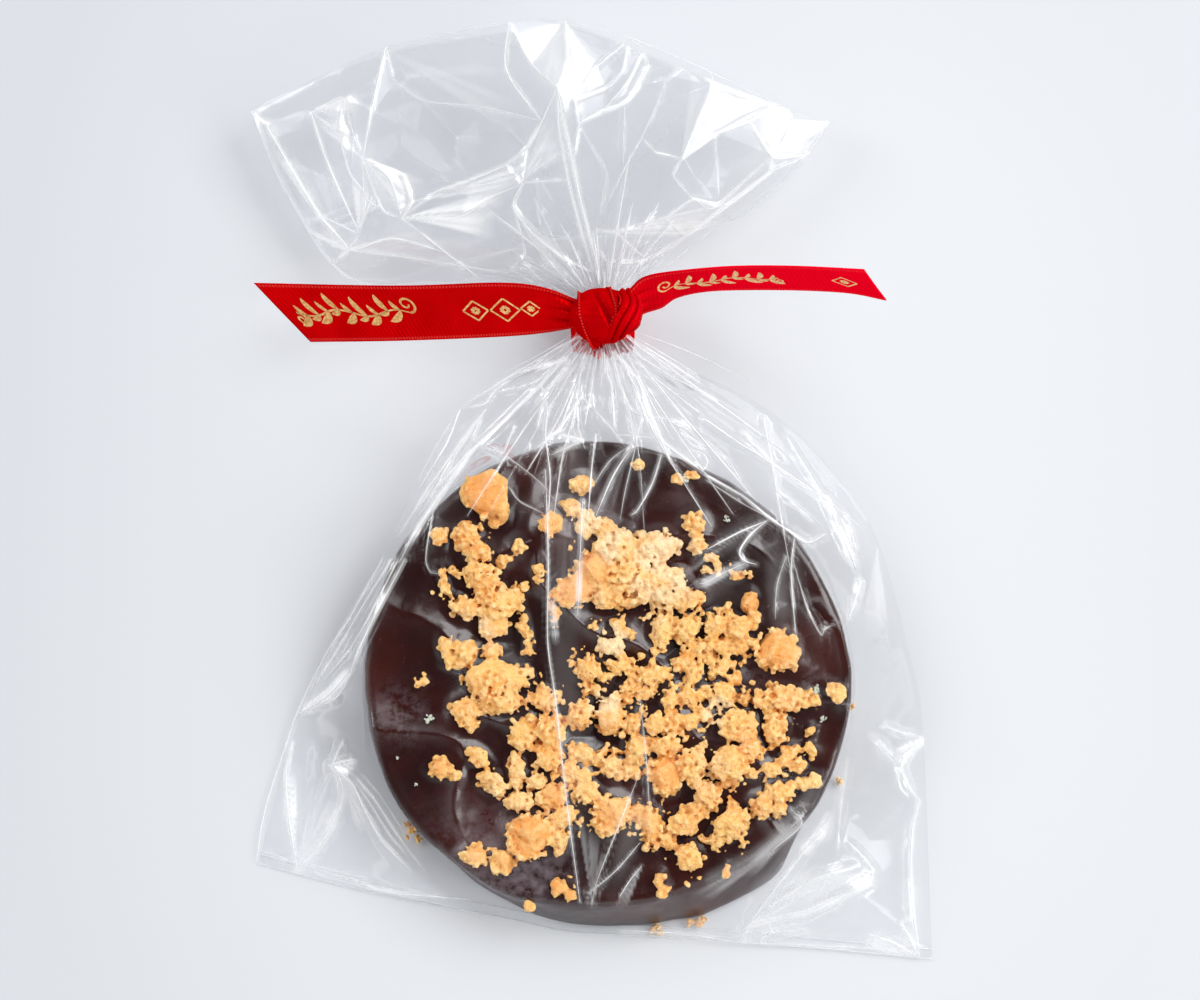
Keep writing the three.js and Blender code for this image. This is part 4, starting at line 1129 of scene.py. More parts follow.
    (0.8, 0.6, 0.7, 0.25, [(28.4, -42.3), (28.8, -43.5), (32.2, -43.0), (35.2, -42.7)]),
    (0.8, 0.6, 0.6, 0.25, [(27.0, -45.3), (27.5, -44.2), (28.7, -44.0)]),
    (1.0, 0.7, 0.9, 0.35, [(45.9, -43.9), (50.0, -45.2), (54.8, -48.1)]),
    (1.0, 0.7, 0.8, 0.4, [(51.9, -42.5), (53.5, -45.2), (54.9, -48.2)]),
    (0.8, 0.5, 0.6, 0.3, [(36.3, -46.1), (43.2, -46.3), (49.7, -46.7)]),
    (1.2, 0.7, 0.5, 0.8, [(46.2, -8.7), (48.5, -11.0), (50.8, -13.2)]),
    (1.0, 0.6, 0.5, 0.4, [(48.5, -7.1), (51.6, -8.3), (55.4, -9.2)]),
    (1.2, 0.7, 0.3, 0.4, [(41.7, -13.2), (40.5, -22.4), (40.1, -30.0)]),
    (0.8, 0.5, 0.6, 0.2, [(2.1, -43.1), (13.5, -43.9), (23.4, -45.4), (36.3, -45.9)]),
    (0.8, 0.4, 0.4, 0.2, [(2.1, -43.7), (19.2, -45.2), (40.1, -46.7), (56.9, -48.4)]),
    (0.9, 0.7, 0.8, 0.25, [(2.1, -36.4), (4.0, -33.4), (5.9, -31.1)]),
    (0.9, 0.6, 0.6, 0.5, [(31.8, -21.2), (33.7, -23.9), (28.7, -28.4)]),
    (0.9, 1.0, 0.8, 0.3, [(-10.9, 37.9), (-10.4, 22.1), (-10.5, 8.1), (-9.1, -2.5), (-7.4, -18.2),
        (-4.9, -37.5)]),
    (1.0, 1.0, 0.9, 0.55, [(-4.4, 32.6), (-4.9, 22.1), (-5.3, 12.5)]),
    (0.9, 0.8, 0.7, 0.7, [(-9.8, 15.1), (-9.1, 8.1)]),
    (0.9, 0.9, 0.7, 0.25, [(-3.2, -35.8), (1.4, -31.9), (5.6, -27.0)]),
    (0.9, 0.9, 0.6, 0.2, [(-2.8, -37.5), (-1.4, -32.3), (5.6, -14.7)]),
    (0.8, 0.8, 0.4, 0.2, [(5.6, -2.5), (6.7, -13.0), (7.4, -25.3)]),
]

# Broad soft glints: how strong, half width, and the route.
BODY_GLINTS = [
    (0.16, 5.0, [(-6.5, 43), (-6.0, 30), (-7.0, 17)]),
    (0.09, 4.0, [(-7.0, 17), (-7.5, 0), (-5.0, -22)]),
    (0.12, 2.2, [(3.6, 41), (0.6, 33), (-1.2, 26)]),
    (0.06, 3.0, [(9.0, 44), (13.0, 36), (14.5, 30)]),
    (0.22, 2.8, [(27.0, 30), (22.5, 26.5), (19.0, 24)]),
    (0.14, 3.2, [(30.0, 30), (29.6, 18), (30.5, 10)]),
    (0.3, 3.6, [(37.0, -25.5), (30.0, -33), (24.5, -40)]),
    (0.22, 4.5, [(45.5, -33), (35.0, -37), (26.0, -42)]),
    (0.18, 3.0, [(-47.5, -14), (-43.5, -22), (-38, -30)]),
    (0.16, 3.0, [(-55.0, -12), (-55.0, -24), (-55.0, -31)]),
    (0.12, 2.6, [(1.0, -36), (3.0, -28), (6.5, -20)]),
    (0.3, 2.0, [(18.0, -33.4), (24.9, -29.9), (28.6, -27.2), (31.8, -23.4), (35.4, -18.6)]),
    (0.65, 0.7, [(22.6, -31.0), (25.6, -29.2), (28.8, -26.6), (31.4, -23.6)]),
    (0.5, 0.6, [(-3.2, -36.4), (-1.9, -33.0), (-0.9, -29.4)]),
]
MOUTH_GLINTS = [
    (0.4, 3.0, [(31.0, 101.5), (23.0, 101.0), (17.0, 96.5)]),
    (0.3, 3.0, [(33.0, 95.0), (26.0, 91.5), (20.0, 88.0)]),
    (0.4, 3.0, [(-9.5, 114.0), (-8.0, 106.0), (-7.4, 98.0)]),
    (0.45, 2.4, [(-43.0, 96.0), (-41.0, 88.0), (-37.5, 83.5)]),
    (0.3, 2.4, [(-15.0, 88.0), (-20.0, 86.0), (-27.0, 83.0)]),
    (0.25, 3.0, [(-40.0, 79.0), (-28.0, 77.0), (-16.0, 74.5)]),
]
# Fans of light on pressed film: how white, and the three corners, from the one it spreads from.
BODY_WEDGES = [
    (1.0, [(-54.8, -5.0), (-43.5, 4.8), (-44.4, -0.6)]),
    (1.0, [(-54.8, -32.7), (-57.6, -8.8), (-54.6, -14.0)]),
    (0.4, [(-54.8, -32.7), (-52.6, -19.0), (-45.4, -17.0)]),
    (0.9, [(-48.6, -14.4), (-43.0, -12.2), (-44.0, -15.6)]),
    (0.9, [(-43.4, -35.4), (-32.0, -38.6), (-34.0, -36.4)]),
    (0.45, [(-47.2, -15.0), (-43.8, -28.0), (-38.0, -26.2)]),
    (0.4, [(27.5, 48.0), (33.0, 38.6), (27.8, 39.4)]),
    (0.9, [(55.4, -9.2), (50.0, -11.0), (51.0, -16.6)]),
    (0.5, [(45.8, -33.2), (24.0, -43.0), (30.0, -29.6)]),
    (0.9, [(54.6, -48.0), (42.0, -46.4), (46.8, -42.6)]),
    (0.4, [(47.3, 24.7), (44.0, 10.0), (50.0, 8.0)]),
    (0.16, [(-6.5, 48.0), (-11.5, 4.0), (-1.8, 6.0)]),
    (0.25, [(4.2, 42.6), (-4.6, 25.4), (0.6, 27.6)]),
    (0.2, [(9.3, 41.2), (2.6, 26.4), (5.6, 27.4)]),
    (0.3, [(-2.9, -37.4), (-6.0, -20.0), (-1.0, -25.6)]),
    (0.4, [(6.2, -30.6), (0.2, -39.2), (3.2, -39.0)]),
    (0.6, [(35.4, -20.6), (20.8, -33.6), (25.6, -34.0)]),
    (0.4, [(29.0, -28.6), (13.0, -36.6), (17.0, -38.4)]),
    (0.5, [(27.4, 29.6), (12.0, 18.0), (14.6, 23.6)]),
]
MOUTH_WEDGES = [
    (0.8, [(-51.9, 100.9), (-43.0, 104.6), (-42.0, 97.6)]),
    (0.8, [(-42.6, 92.0), (-52.6, 99.0), (-47.0, 102.0)]),
    (0.7, [(-42.8, 92.4), (-31.0, 88.6), (-34.6, 79.0)]),
    (0.9, [(-43.6, 78.8), (-45.4, 91.0), (-39.4, 87.6)]),
    (1.0, [(-35.9, 81.9), (-15.4, 88.4), (-19.6, 77.4)]),
    (0.6, [(-34.0, 84.6), (-9.0, 93.4), (-13.6, 87.0)]),
    (0.4, [(-7.4, 116.2), (-18.4, 114.6), (-9.0, 97.0)]),
    (0.3, [(-7.0, 115.6), (-6.0, 93.0), (4.0, 106.0)]),
    (0.3, [(12.6, 91.6), (14.4, 112.0), (33.0, 104.0)]),
    (0.4, [(39.4, 99.0), (25.0, 103.0), (25.4, 88.4)]),
    (0.6, [(-1.4, 79.2), (25.0, 86.0), (20.0, 78.0)]),
    (0.7, [(-46.6, 76.0), (-62.6, 98.4), (-56.0, 95.0)]),
    (0.5, [(-15.4, 87.6), (-10.0, 103.0), (-4.6, 93.0)]),
    (0.4, [(-45.9, 76.4), (-18.0, 71.0), (-30.0, 82.6)]),
    (0.45, [(-17.0, 84.0), (-2.6, 71.6), (-9.0, 69.6)]),
    (0.3, [(-39.0, 111.4), (-14.0, 102.0), (-14.0, 94.0)]),
]

# The opened mouth is flat faces between folds, which share these points in space.
MOUTH_POINTS = [
    (-38.7, 111.7, 13.2), (-17.2, 115.8, 17.2), (-7.5, 116.2, 14.6), (3.6, 113.2, 13.6),
    (13.6, 109.1, 14.4), (29.8, 101.8, 10.4), (-62.5, 100.3, 8.6), (-59.7, 98.1, 10.0),
    (-55.0, 89.9, 10.2), (-50.3, 82.3, 9.9), (-45.4, 76.3, 9.2), (-48.4, 73.8, 7.6), (-43.4, 79.0, 11.0),
    (-52.1, 79.5, 7.9), (-37.7, 78.3, 11.2), (-28.3, 75.8, 10.0), (-32.3, 74.6, 8.8), (-17.6, 72.3, 8.6),
    (-36.0, 81.8, 13.2), (-22.3, 71.2, 8.2), (-51.8, 100.1, 12.4), (-48.8, 91.1, 11.6),
    (-46.3, 102.8, 13.2), (-47.0, 97.2, 13.9), (-44.4, 96.4, 13.0), (-42.7, 92.0, 14.6),
    (-45.1, 89.7, 13.2), (-42.4, 85.7, 12.4), (-39.1, 83.0, 12.4), (-39.9, 106.5, 14.4),
    (-41.1, 100.5, 15.2), (-37.4, 105.8, 13.6), (-32.3, 102.3, 14.0), (-21.6, 101.0, 14.4),
    (-11.5, 98.5, 16.0), (-35.7, 89.1, 13.8), (-34.2, 84.7, 13.4), (-38.2, 88.7, 14.9),
    (-36.5, 83.8, 14.2), (-41.4, 88.1, 13.0), (-30.3, 86.2, 12.8), (-24.3, 88.3, 13.0),
    (-17.6, 91.1, 14.2), (-13.9, 94.1, 15.0), (-8.8, 104.2, 18.0), (-31.0, 81.5, 13.7),
    (-25.6, 82.0, 14.2), (-20.9, 85.0, 15.4), (-14.9, 87.7, 16.2), (-16.5, 83.7, 14.9),
    (-12.9, 78.9, 12.8), (-7.5, 74.6, 11.4), (-2.5, 72.3, 11.3), (-14.5, 75.6, 11.0), (-7.0, 88.4, 14.7),
    (-8.4, 96.4, 15.9), (-13.4, 108.5, 17.2), (-7.0, 109.9, 16.2), (-5.8, 102.4, 17.2),
    (-17.6, 107.2, 16.6), (-7.8, 99.1, 17.6), (-6.2, 91.7, 16.4), (-4.8, 85.0, 15.0), (-3.1, 78.3, 13.2),
    (-1.6, 72.3, 11.6), (-4.9, 80.3, 13.0), (-5.1, 98.1, 17.0), (-0.2, 104.8, 15.2), (2.6, 107.9, 14.6),
    (-2.1, 108.5, 14.9), (6.1, 111.1, 13.2), (7.1, 108.5, 12.8), (5.6, 105.5, 13.9), (2.9, 102.1, 14.8),
    (-0.8, 100.5, 15.6), (3.4, 105.5, 15.2), (10.6, 106.5, 15.2), (8.9, 102.5, 14.6), (5.9, 95.8, 15.6),
    (2.6, 89.7, 15.4), (-1.6, 81.3, 13.9), (-0.1, 89.1, 14.6), (18.3, 105.5, 13.6), (12.8, 91.9, 18.0),
    (23.4, 103.0, 12.2), (18.7, 96.4, 15.2), (8.3, 93.1, 16.2), (11.3, 89.1, 16.2), (14.7, 85.0, 14.6),
    (24.7, 98.5, 13.0), (31.6, 99.1, 10.6), (28.4, 92.5, 12.8), (35.6, 93.2, 9.6), (28.4, 89.9, 11.8),
    (20.7, 84.0, 11.2), (13.6, 78.5, 9.8), (6.6, 74.6, 9.4), (-0.1, 74.3, 11.6), (18.7, 83.7, 12.4),
    (10.0, 81.8, 13.8), (1.6, 79.1, 13.8), (-2.0, 79.8, 13.6), (-27.0, 95.4, 14.9), (-33.0, 96.4, 14.5),
    (-27.0, 108.5, 15.2), (39.2, 99.0, 7.8), (32.1, 88.9, 9.0), (20.0, 81.3, 8.2), (12.6, 75.5, 7.6),
    (-57.8, 89.1, 8.4),
]
# The folds of the mouth: how white each is as a painted highlight, and the numbers of its points.
MOUTH_NET = [(glare, [MOUTH_POINTS[number] for number in numbers]) for glare, *numbers in [
    (0.4, 0, 1), (0.4, 2, 3, 4, 5), (0.6, 6, 7), (1.0, 7, 8, 9, 10, 11), (0.7, 9, 12),
    (0.8, 13, 10, 14, 15), (0.5, 10, 16, 17), (0.7, 18, 15, 19), (0.5, 10, 12), (0.9, 20, 21, 12),
    (0.7, 20, 22, 23, 20), (0.5, 22, 24, 25), (0.6, 20, 23, 24), (0.6, 23, 26, 27, 12),
    (0.6, 25, 27, 28), (0.9, 0, 29, 30, 25), (0.6, 0, 31), (0.5, 31, 32, 33, 34), (1.0, 25, 35, 36, 18),
    (0.8, 25, 37, 38, 18), (0.7, 25, 39, 28, 18), (0.9, 18, 40, 41, 42, 43, 34, 44),
    (1.0, 18, 45, 46, 47, 48), (0.9, 48, 42), (0.7, 48, 43), (0.9, 48, 49, 50, 51, 52),
    (0.5, 49, 53, 17), (0.5, 48, 54), (0.4, 48, 55), (0.7, 1, 56, 44), (1.0, 2, 57, 44),
    (0.9, 2, 57, 58), (0.8, 1, 59, 34), (1.0, 44, 60, 61, 62, 63, 64), (0.8, 44, 55, 54, 65, 52),
    (0.6, 58, 66, 61), (0.6, 58, 67, 68, 3), (0.5, 58, 69, 3), (0.9, 70, 71, 72, 73, 74, 66),
    (0.7, 70, 75, 74), (0.4, 70, 3), (0.4, 4, 76, 77, 78, 79, 80), (0.3, 76, 72), (0.3, 73, 79),
    (0.4, 66, 81, 80), (0.8, 4, 82, 83), (1.0, 82, 84, 5), (0.9, 83, 85, 5), (0.6, 83, 86, 78),
    (0.6, 83, 87, 88), (0.5, 85, 89, 5), (0.9, 5, 90, 91, 92), (0.7, 91, 89),
    (1.0, 91, 93, 94, 95, 96, 97, 63), (0.6, 92, 93), (0.7, 91, 98, 88, 99, 100, 101, 63), (0.6, 99, 95),
    (0.7, 100, 96), (0.5, 98, 94), (0.5, 88, 94),
]]
# More points that its faces pass through: loose ones, the sheet's edge, and the neck.
MOUTH_SPOTS = [MOUTH_POINTS[number] for number in (
    102, 103, 104, 27, 24, 79, 105, 106, 107, 108, 109, 6, 0, 1, 2, 3, 4, 5, 92, 13, 11,
)]
NECK_SPOTS = [(-5.5, 65.5, 8.0), (3.7, 65.5, 8.0), (-0.9, 64.0, 11.4), (-31.2, 69.0, 7.6)]
MOUTH_MIDDLE = (-12, 92)

# The bag above the ribbon: its left and right folds from the neck, and the edge of its mouth.
MOUTH_LEFT = [(-5.5, 65.5), (-8.5, 68.6), (-18.9, 70.7), (-31.2, 70.9), (-46.1, 71.8), (-56.7, 87.0),
              (-62.5, 100.7)]
MOUTH_RIGHT = [(3.7, 65.5), (4.2, 69.5), (14.4, 79.1), (24.0, 82.6), (33.7, 91.4), (38.9, 98.9)]
MOUTH_EDGE = [(-62.5, 100.7), (-39.1, 111.6), (-17.2, 115.6), (-7.0, 116.1), (10.0, 109.5), (30.2, 101.1),
              (38.9, 98.9)]


def plan_grid(left, right, end, rows, columns):
    """Points of a flat sheet between two side lines, drawn out at one end to meet a third line: the
    straight blend of the sides, plus the end line's gap from it times the share along squared."""
    along = np.linspace(0, 1, rows)
    across = np.linspace(0, 1, columns)
    left, right = along_path(left, along), along_path(right, along)
    flat = lerp(left[:, None], right[:, None], across[None, :, None])
    gap = along_path(end, across) - flat[-1]
    return flat + gap[None] * along[:, None, None] ** 2, along[:, None], across[None, :]


def route_distance(x, y, route):
    """Distance from points to a route of straight stretches, the share of it passed there, and -1 or 1
    for the side that they lie on."""
    best = np.full(x.shape, np.inf)
    passed = np.zeros(x.shape)
    side = np.zeros(x.shape)
    route = np.asarray(route, dtype=float)
    for number, (start, end) in enumerate(zip(route[:-1], route[1:])):
        step = end - start
        share = np.clip(((x - start[0]) * step[0] + (y - start[1]) * step[1]) / (step @ step), 0, 1)
        away = np.hypot(x - start[0] - share * step[0], y - start[1] - share * step[1])
        nearer = away < best
        best = np.where(nearer, away, best)
        passed = np.where(nearer, (number + share) / (len(route) - 1), passed)
        side = np.where(nearer, np.sign((x - start[0]) * step[1] - (y - start[1]) * step[0]), side)
    return best, passed, side


def fold_relief(x, y, folds):
    """The height that folds add: a tent over each route, down to nothing at its far end. The second
    result is a painted highlight: a white line, and a painted glow that dies away on one side of it."""
    total = np.zeros_like(x)
    white = np.zeros_like(x)
    for number, (width, height, glare, band, route) in enumerate(folds):
        away, passed, side = route_distance(x, y, route)
        spots = np.stack([passed * 7, np.full_like(x, route[0][0])], axis=-1)
        fade = (1 - smoothstep(passed, 0.75, 1.0) * 0.7) * (0.75 + 0.4 * cloud(spots, 1, 211))
        tent = np.clip(1 - away / width, 0, 1)
        total = np.maximum(total, height * fade * tent * (1 - 0.15 * tent))
        white = np.maximum(white, glare * fade * (1 - smoothstep(away, 0.5 * band, 1.4 * band)))
        lit = smoothstep(side * (-1) ** number * away, -0.25, 0.25)
        ends = np.sin(np.pi * np.clip(passed, 0.03, 0.97)) ** 0.6
        white = np.maximum(white, 0.2 * glare * fade * ends * lit * np.exp(-away / (0.5 + 2.2 * band)))
    return total, white


def glints(x, y, rows):
    """How white broad glints make the film: each fades out from the middle of its route."""
    white = np.zeros_like(x)
    for strength, width, route in rows:
        away, passed, _ = route_distance(x, y, route)
        patchy = 0.75 + 0.35 * cloud(np.stack([x, y], axis=-1), 5, 231)
        white = np.maximum(white, strength * patchy * (1 - smoothstep(away, 0.1 * width, width))
                           * np.sin(np.pi * np.clip(passed, 0.08, 0.92)) ** 0.5)
    return white


def wedges(x, y, rows):
    """How white the film is in fans of light: triangles that spread from their first corner, streaked
    along the way from it, soft along both sides, and gone at the far side."""
    white = np.zeros_like(x)
    for number, (strength, (start, one, other)) in enumerate(rows):
        ax, ay = one[0] - start[0], one[1] - start[1]
        bx, by = other[0] - start[0], other[1] - start[1]
        area = ax * by - ay * bx
        a = ((x - start[0]) * by - (y - start[1]) * bx) / area
        b = ((y - start[1]) * ax - (x - start[0]) * ay) / area
        far = a + b
        turn = np.where(far > 0.001, b / np.maximum(far, 0.001), -1)
        streak = np.clip(0.85 + 0.6 * cloud(np.stack([9 * turn, 1.5 * far + number], axis=-1), 1, 251), 0, 1)
        soft = smoothstep(np.minimum(turn, 1 - turn), 0, 0.12) * (1 - smoothstep(far, 0.6, 1))
        white = np.maximum(white, strength * streak * soft)
    return white


def folded(x, y, lines, spots):
    """Heights on flat faces between folds. The points of the folds and the loose spots are joined
    into triangles that keep every fold as an edge, and each triangle is a plane."""
    places, edges = {}, []
    for _, line in lines:
        numbers = [places.setdefault(point[:2], (len(places), point[2]))[0] for point in line]
        edges += zip(numbers[:-1], numbers[1:])
    for point in spots:
        places.setdefault(point[:2], (len(places), point[2]))
    known = np.array([(*place, height) for place, (_, height) in places.items()])
    corners, _, faces, _, _, _ = delaunay_2d_cdt([Vector(place) for place in places], edges, [], 0, 1e-4)
    corners = np.array([tuple(corner) for corner in corners])
    weight = 1 / (((corners[:, None] - known[None, :, :2]) ** 2).sum(axis=-1) + 1e-6) ** 2
    tall = (weight * known[:, 2]).sum(axis=1) / weight.sum(axis=1)
    height = np.full(x.shape, np.nan)
    for a, b, c in faces:
        sides = np.stack([corners[b] - corners[a], corners[c] - corners[a]], axis=1)
        if abs(np.linalg.det(sides)) < 1e-6:
            continue
        back = np.linalg.inv(sides)
        dx, dy = x - corners[a, 0], y - corners[a, 1]
        one, two = back[0, 0] * dx + back[0, 1] * dy, back[1, 0] * dx + back[1, 1] * dy
        inside = (one >= -1e-6) & (two >= -1e-6) & (one + two <= 1 + 1e-6)
        height[inside] = (tall[a] + one * (tall[b] - tall[a]) + two * (tall[c] - tall[a]))[inside]
    return height


def spread_folds(random, count, centre, angles, reach):
    """Folds that run straight out from the neck, at random angles (degrees) and lengths."""
    folds = []
    for angle in np.radians(np.linspace(*angles, count) + random.normal(0, 1.6, count)):
        start = 4.0 + 3.0 * random.random()
        end = lerp(*reach, random.random() ** 1.6)
        bend = random.normal(0, 0.03)
        middle = 0.5 * (start + end)
        route = [(centre[0] + r * math.cos(a), centre[1] + r * math.sin(a))
                 for r, a in ((start, angle), (middle, angle + bend), (end, angle))]
        folds.append((lerp(0.5, 1.3, random.random()), lerp(0.4, 1.0, random.random()),
                      lerp(0.2, 0.9, random.random()), 0.2, route))
    return folds


def crumple(x, y, spacing, seed):
    """Crumpled planes that are drawn out from the neck: wide across, longer along."""
    angle = np.arctan2(x - NECK["x"], np.abs(y - NECK["y"]) + 3.0)
    reach = np.hypot(x - NECK["x"], y - NECK["y"])
    return facets(30 * angle, reach, spacing, 2.2, seed)


def film_piece(name, grid, white, upwards):
    """A sheet of film from a grid of points, with how white each point is, from its crease and from
    painted highlights, and where it clings to the cookie. Clear film casts next to no shadow: only the
    mouth's sheets cast any."""
    rows, columns = grid.shape[:2]
    faces = grid_faces(rows, columns)
    if not upwards:
        faces = faces[:, ::-1]
    x, y = grid[..., 0], grid[..., 1]
    beyond = np.hypot(x, y) - rim_radius(np.arctan2(y, x))
    clings = smoothstep(beyond, -2.5, -0.5) * (1 - smoothstep(beyond, 4.5, 7)) * (1 - smoothstep(y, -14, 0))
    clings = np.maximum(clings, lerp(0.7, 0.9, smoothstep(y, 12, 32)) * (1 - smoothstep(beyond, -4, 1)))
    mouth = name.startswith("mouth")
    piece = mesh_piece(name, grid.reshape(-1, 3), faces, MOUTH_FILM if mouth else FILM,
                       {"crease": white.ravel(), "clings": clings.ravel()})
    piece.visible_shadow = mouth
    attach(piece, "root")
    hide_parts("bag")


def creased(z):
    """How sharply a grid of heights bends at each point, as 0..1."""
    wide = np.pad(z, 1, mode="edge")
    bend = np.abs(wide[:-2, 1:-1] + wide[2:, 1:-1] - 2 * z) + np.abs(wide[1:-1, :-2] + wide[1:-1, 2:] - 2 * z)
    return smoothstep(bend, 0.03, 0.22)


def body_films(folds):
    """The two sheets from the neck to the hem. They meet along both sides and the hem. Gives the
    front sheet's points."""
    for upper in (True, False):
        rows, columns = (300, 300) if upper else (130, 150)
        flat, along, across = plan_grid(LEFT_SIDE[::-1], RIGHT_SIDE[::-1], HEM_LINE, rows, columns)
        x, y = flat[..., 0], flat[..., 1]
        inside = smoothstep(np.minimum(across, 1 - across), 0, 0.04) * (1 - smoothstep(along, 0.985, 1))
        plain = softened(body_height(x, y, upper), 14 if upper else 1)
        near_neck = smoothstep(y, 38, 60)
        over = 1 - smoothstep(np.hypot(x, y), 36, 46)
        rough = lerp(lerp(0.5, 0.22, over), 0.9, near_neck)
        wrinkles = crumple(x, y, 8.5, 101 if upper else 131)
        pleats = np.abs((across * 13 + 0.25 * np.sin(23 * across)) % 1 - 0.5) * 2 - 0.5
        added = inside * 1.9 * pleats * smoothstep(y, 47, 62) * (1 if upper else -0.5)
        if upper:
            relief, white = fold_relief(x, y, folds)
            white = np.maximum(white, np.maximum(glints(x, y, BODY_GLINTS), wedges(x, y, BODY_WEDGES)))
            fine = 0.16 * crumple(x, y, 3.6, 111) * (1 - 0.7 * over)
            added += inside * (rough * wrinkles + relief * lerp(0.9, 0.45, over) + fine)
        else:
            relief, white = 0, np.zeros_like(x)
            added += 0.5 * inside * np.abs(wrinkles) * smoothstep(np.hypot(x, y), 42, 50)
        added = softened(added, 1)
        grid = np.stack([x, y, np.maximum(plain + added, FILM_LOW)], axis=-1)
        over = over * smoothstep(y, 16, 30)
        # The film's white: whitening where it bends sharply, and painted highlights from the folds, glints
        # and fans of light.
        bend = np.maximum(lerp(0.5, 0.2, over) * creased(added), white * lerp(1, 0.55, over))
        film_piece("film_front" if upper else "film_back", grid, bend, upwards=upper)
        if upper:
            seen = grid
    return seen


def mouth_height(x, y, along, across):
    """The front of the mouth: round at the neck, and from there flat faces between folds."""
    arch = np.sin(np.pi * across) ** 0.75
    neck = NECK["z"] + NECK_FILM * arch + 1.5 * along
    (mx, my), spread = MOUTH_MIDDLE, 1.1
    outer = [(mx + spread * (px - mx), my + spread * (py - my), pz) for px, py, pz in MOUTH_SPOTS[4:]]
    faces = folded(x, y, MOUTH_NET, MOUTH_SPOTS + outer + NECK_SPOTS)
    return np.where(np.isnan(faces), neck, lerp(neck, faces, smoothstep(along, 0.06, 0.34)))


def mouth_films(folds):
    """The two sheets above the ribbon, which open into the bag's mouth. Gives the front sheet's
    points."""
    for upper in (True, False):
        rows, columns = (230, 320) if upper else (120, 170)
        flat, along, across = plan_grid(MOUTH_LEFT, MOUTH_RIGHT, MOUTH_EDGE, rows, columns)
        x, y = flat[..., 0], flat[..., 1]
        inside = smoothstep(np.minimum(across, 1 - across), 0, 0.03)
        pleats = np.abs((across * 15 + 0.3 * np.sin(19 * across)) % 1 - 0.5) * 2 - 0.5
        gather = 1.9 * pleats * (1 - smoothstep(along, 0.05, 0.4))
        wrinkles = crumple(x, y, 10, 151 if upper else 171)
        fine = crumple(x, y, 4.2, 161 if upper else 181)
        spread = smoothstep(along, 0.05, 0.4)
        bowed = 0.5 * clouds(np.stack([x, y], axis=-1), 13, 241, 2)
        front = softened(mouth_height(x, y, along, across) + spread * bowed, 7)
        if upper:
            relief, white = fold_relief(x, y, folds)
            white = np.maximum(white, np.maximum(glints(x, y, MOUTH_GLINTS), wedges(x, y, MOUTH_WEDGES)))
            z = front + inside * (gather + spread * (0.14 * wrinkles + 0.03 * fine) + relief)
            z = softened(z, 1)
        else:
            white = np.zeros_like(x)
            sides = lerp(front[:, :1], front[:, -1:], across)
            depth = lerp(NECK["radius"] + 3, 8.5, along) * np.sin(np.pi * across) ** 0.7
            z = sides - depth + inside * (spread * (0.45 * wrinkles + 0.05 * fine) - gather)
        z = np.maximum(z, 0.25)
        spots = np.stack(np.broadcast_arrays(across * 60, along * 30), axis=-1)
        lean = 0.6 * cloud(spots, 9, 191 + upper) * along**2
        grid = np.stack([x, y + lean * inside, z], axis=-1)
        # The film's white: whitening where it bends sharply, and painted highlights from the folds, glints
        # and fans of light.
        bend = np.maximum(0.5 * creased(z), white)
        film_piece("mouth_front" if upper else "mouth_back", grid, bend, upwards=upper)
        if upper:
            seen = grid
    return seen


def roof(line, side, reach, top, profile):
    """A thin strip along a flat line. Each pair of its profile gives a row of points: how far to the
    side it lies, as a share of the reach, and how far over the top."""
    rows = [np.column_stack([line + side * reach * across, top + rise]) for across, rise in profile]
    return np.stack(rows, axis=1).reshape(-1, 3), grid_faces(len(line), len(profile))


def crease_lines(name, folds, grid):
    """A thin roof of doubled film along each fold: two slopes that meet in a ridge."""
    points = grid.reshape(-1, 3)
    near = KDTree(len(points))
    for number, (x, y, _) in enumerate(points.tolist()):
        near.insert((x, y, 0), number)
    near.balance()
    parts = []
    white = []
    for _, _, glare, _, route in folds:
        route = np.array([point[:2] for point in route])
        steps = max(8, int(np.sum(np.hypot(*np.diff(route, axis=0).T)) / 0.8))
        share = np.linspace(0, 1, steps)
        line = along_path(route, share) if len(route) > 2 else lerp(route[0], route[1], share[:, None])
        spots = np.stack([share * steps / 5, np.full(steps, route[0, 0])], axis=-1)
        patchy = 0.5 + 0.5 * cloud(spots, 1, 221)
        taper = np.sin(np.pi * np.clip(0.04 + 0.94 * share, 0, 1)) ** 0.7
        reach = 0.02 + (0.03 + 0.11 * glare * patchy) * taper
        found = [[index for _, index, _ in near.find_n((x, y, 0), 4)] for x, y in line.tolist()]
        top = points[np.array(found), 2].max(axis=1) + 0.08
        profile = ((-1, -0.12), (-0.35, 0.02), (0.35, 0.02), (1, -0.12))
        parts.append(roof(line, left_of(line), reach[:, None], top, profile))
        # Painted highlight: each roof is white to its fold's glare.
        white.append(np.full(len(profile) * steps, glare))
    points, faces = joined_parts(parts)
    piece = mesh_piece(name, points, faces[:, ::-1], CREASE, {"crease": np.concatenate(white)})
    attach(piece, "root")
    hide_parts("bag")


def hem():
    """The sealed end: two fine welded lines just inside the edge, and the doubled edge itself."""
    line = along_path(HEM_LINE, np.linspace(0, 1, 160))
    side = left_of(line)
    profile = ((-1, -0.15), (0, 0.05), (1, -0.15))
    points, faces = joined_parts([roof(line + side * inset, side, reach, np.full(len(line), tall), profile)
                                  for inset, reach, tall in ((0.0, 0.18, 0.34), (1.7, 0.12, 0.42))])
    piece = mesh_piece("hem_welds", points, faces[:, ::-1], CREASE, {"crease": np.full(len(points), 0.35)})
    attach(piece, "root")
    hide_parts("bag")


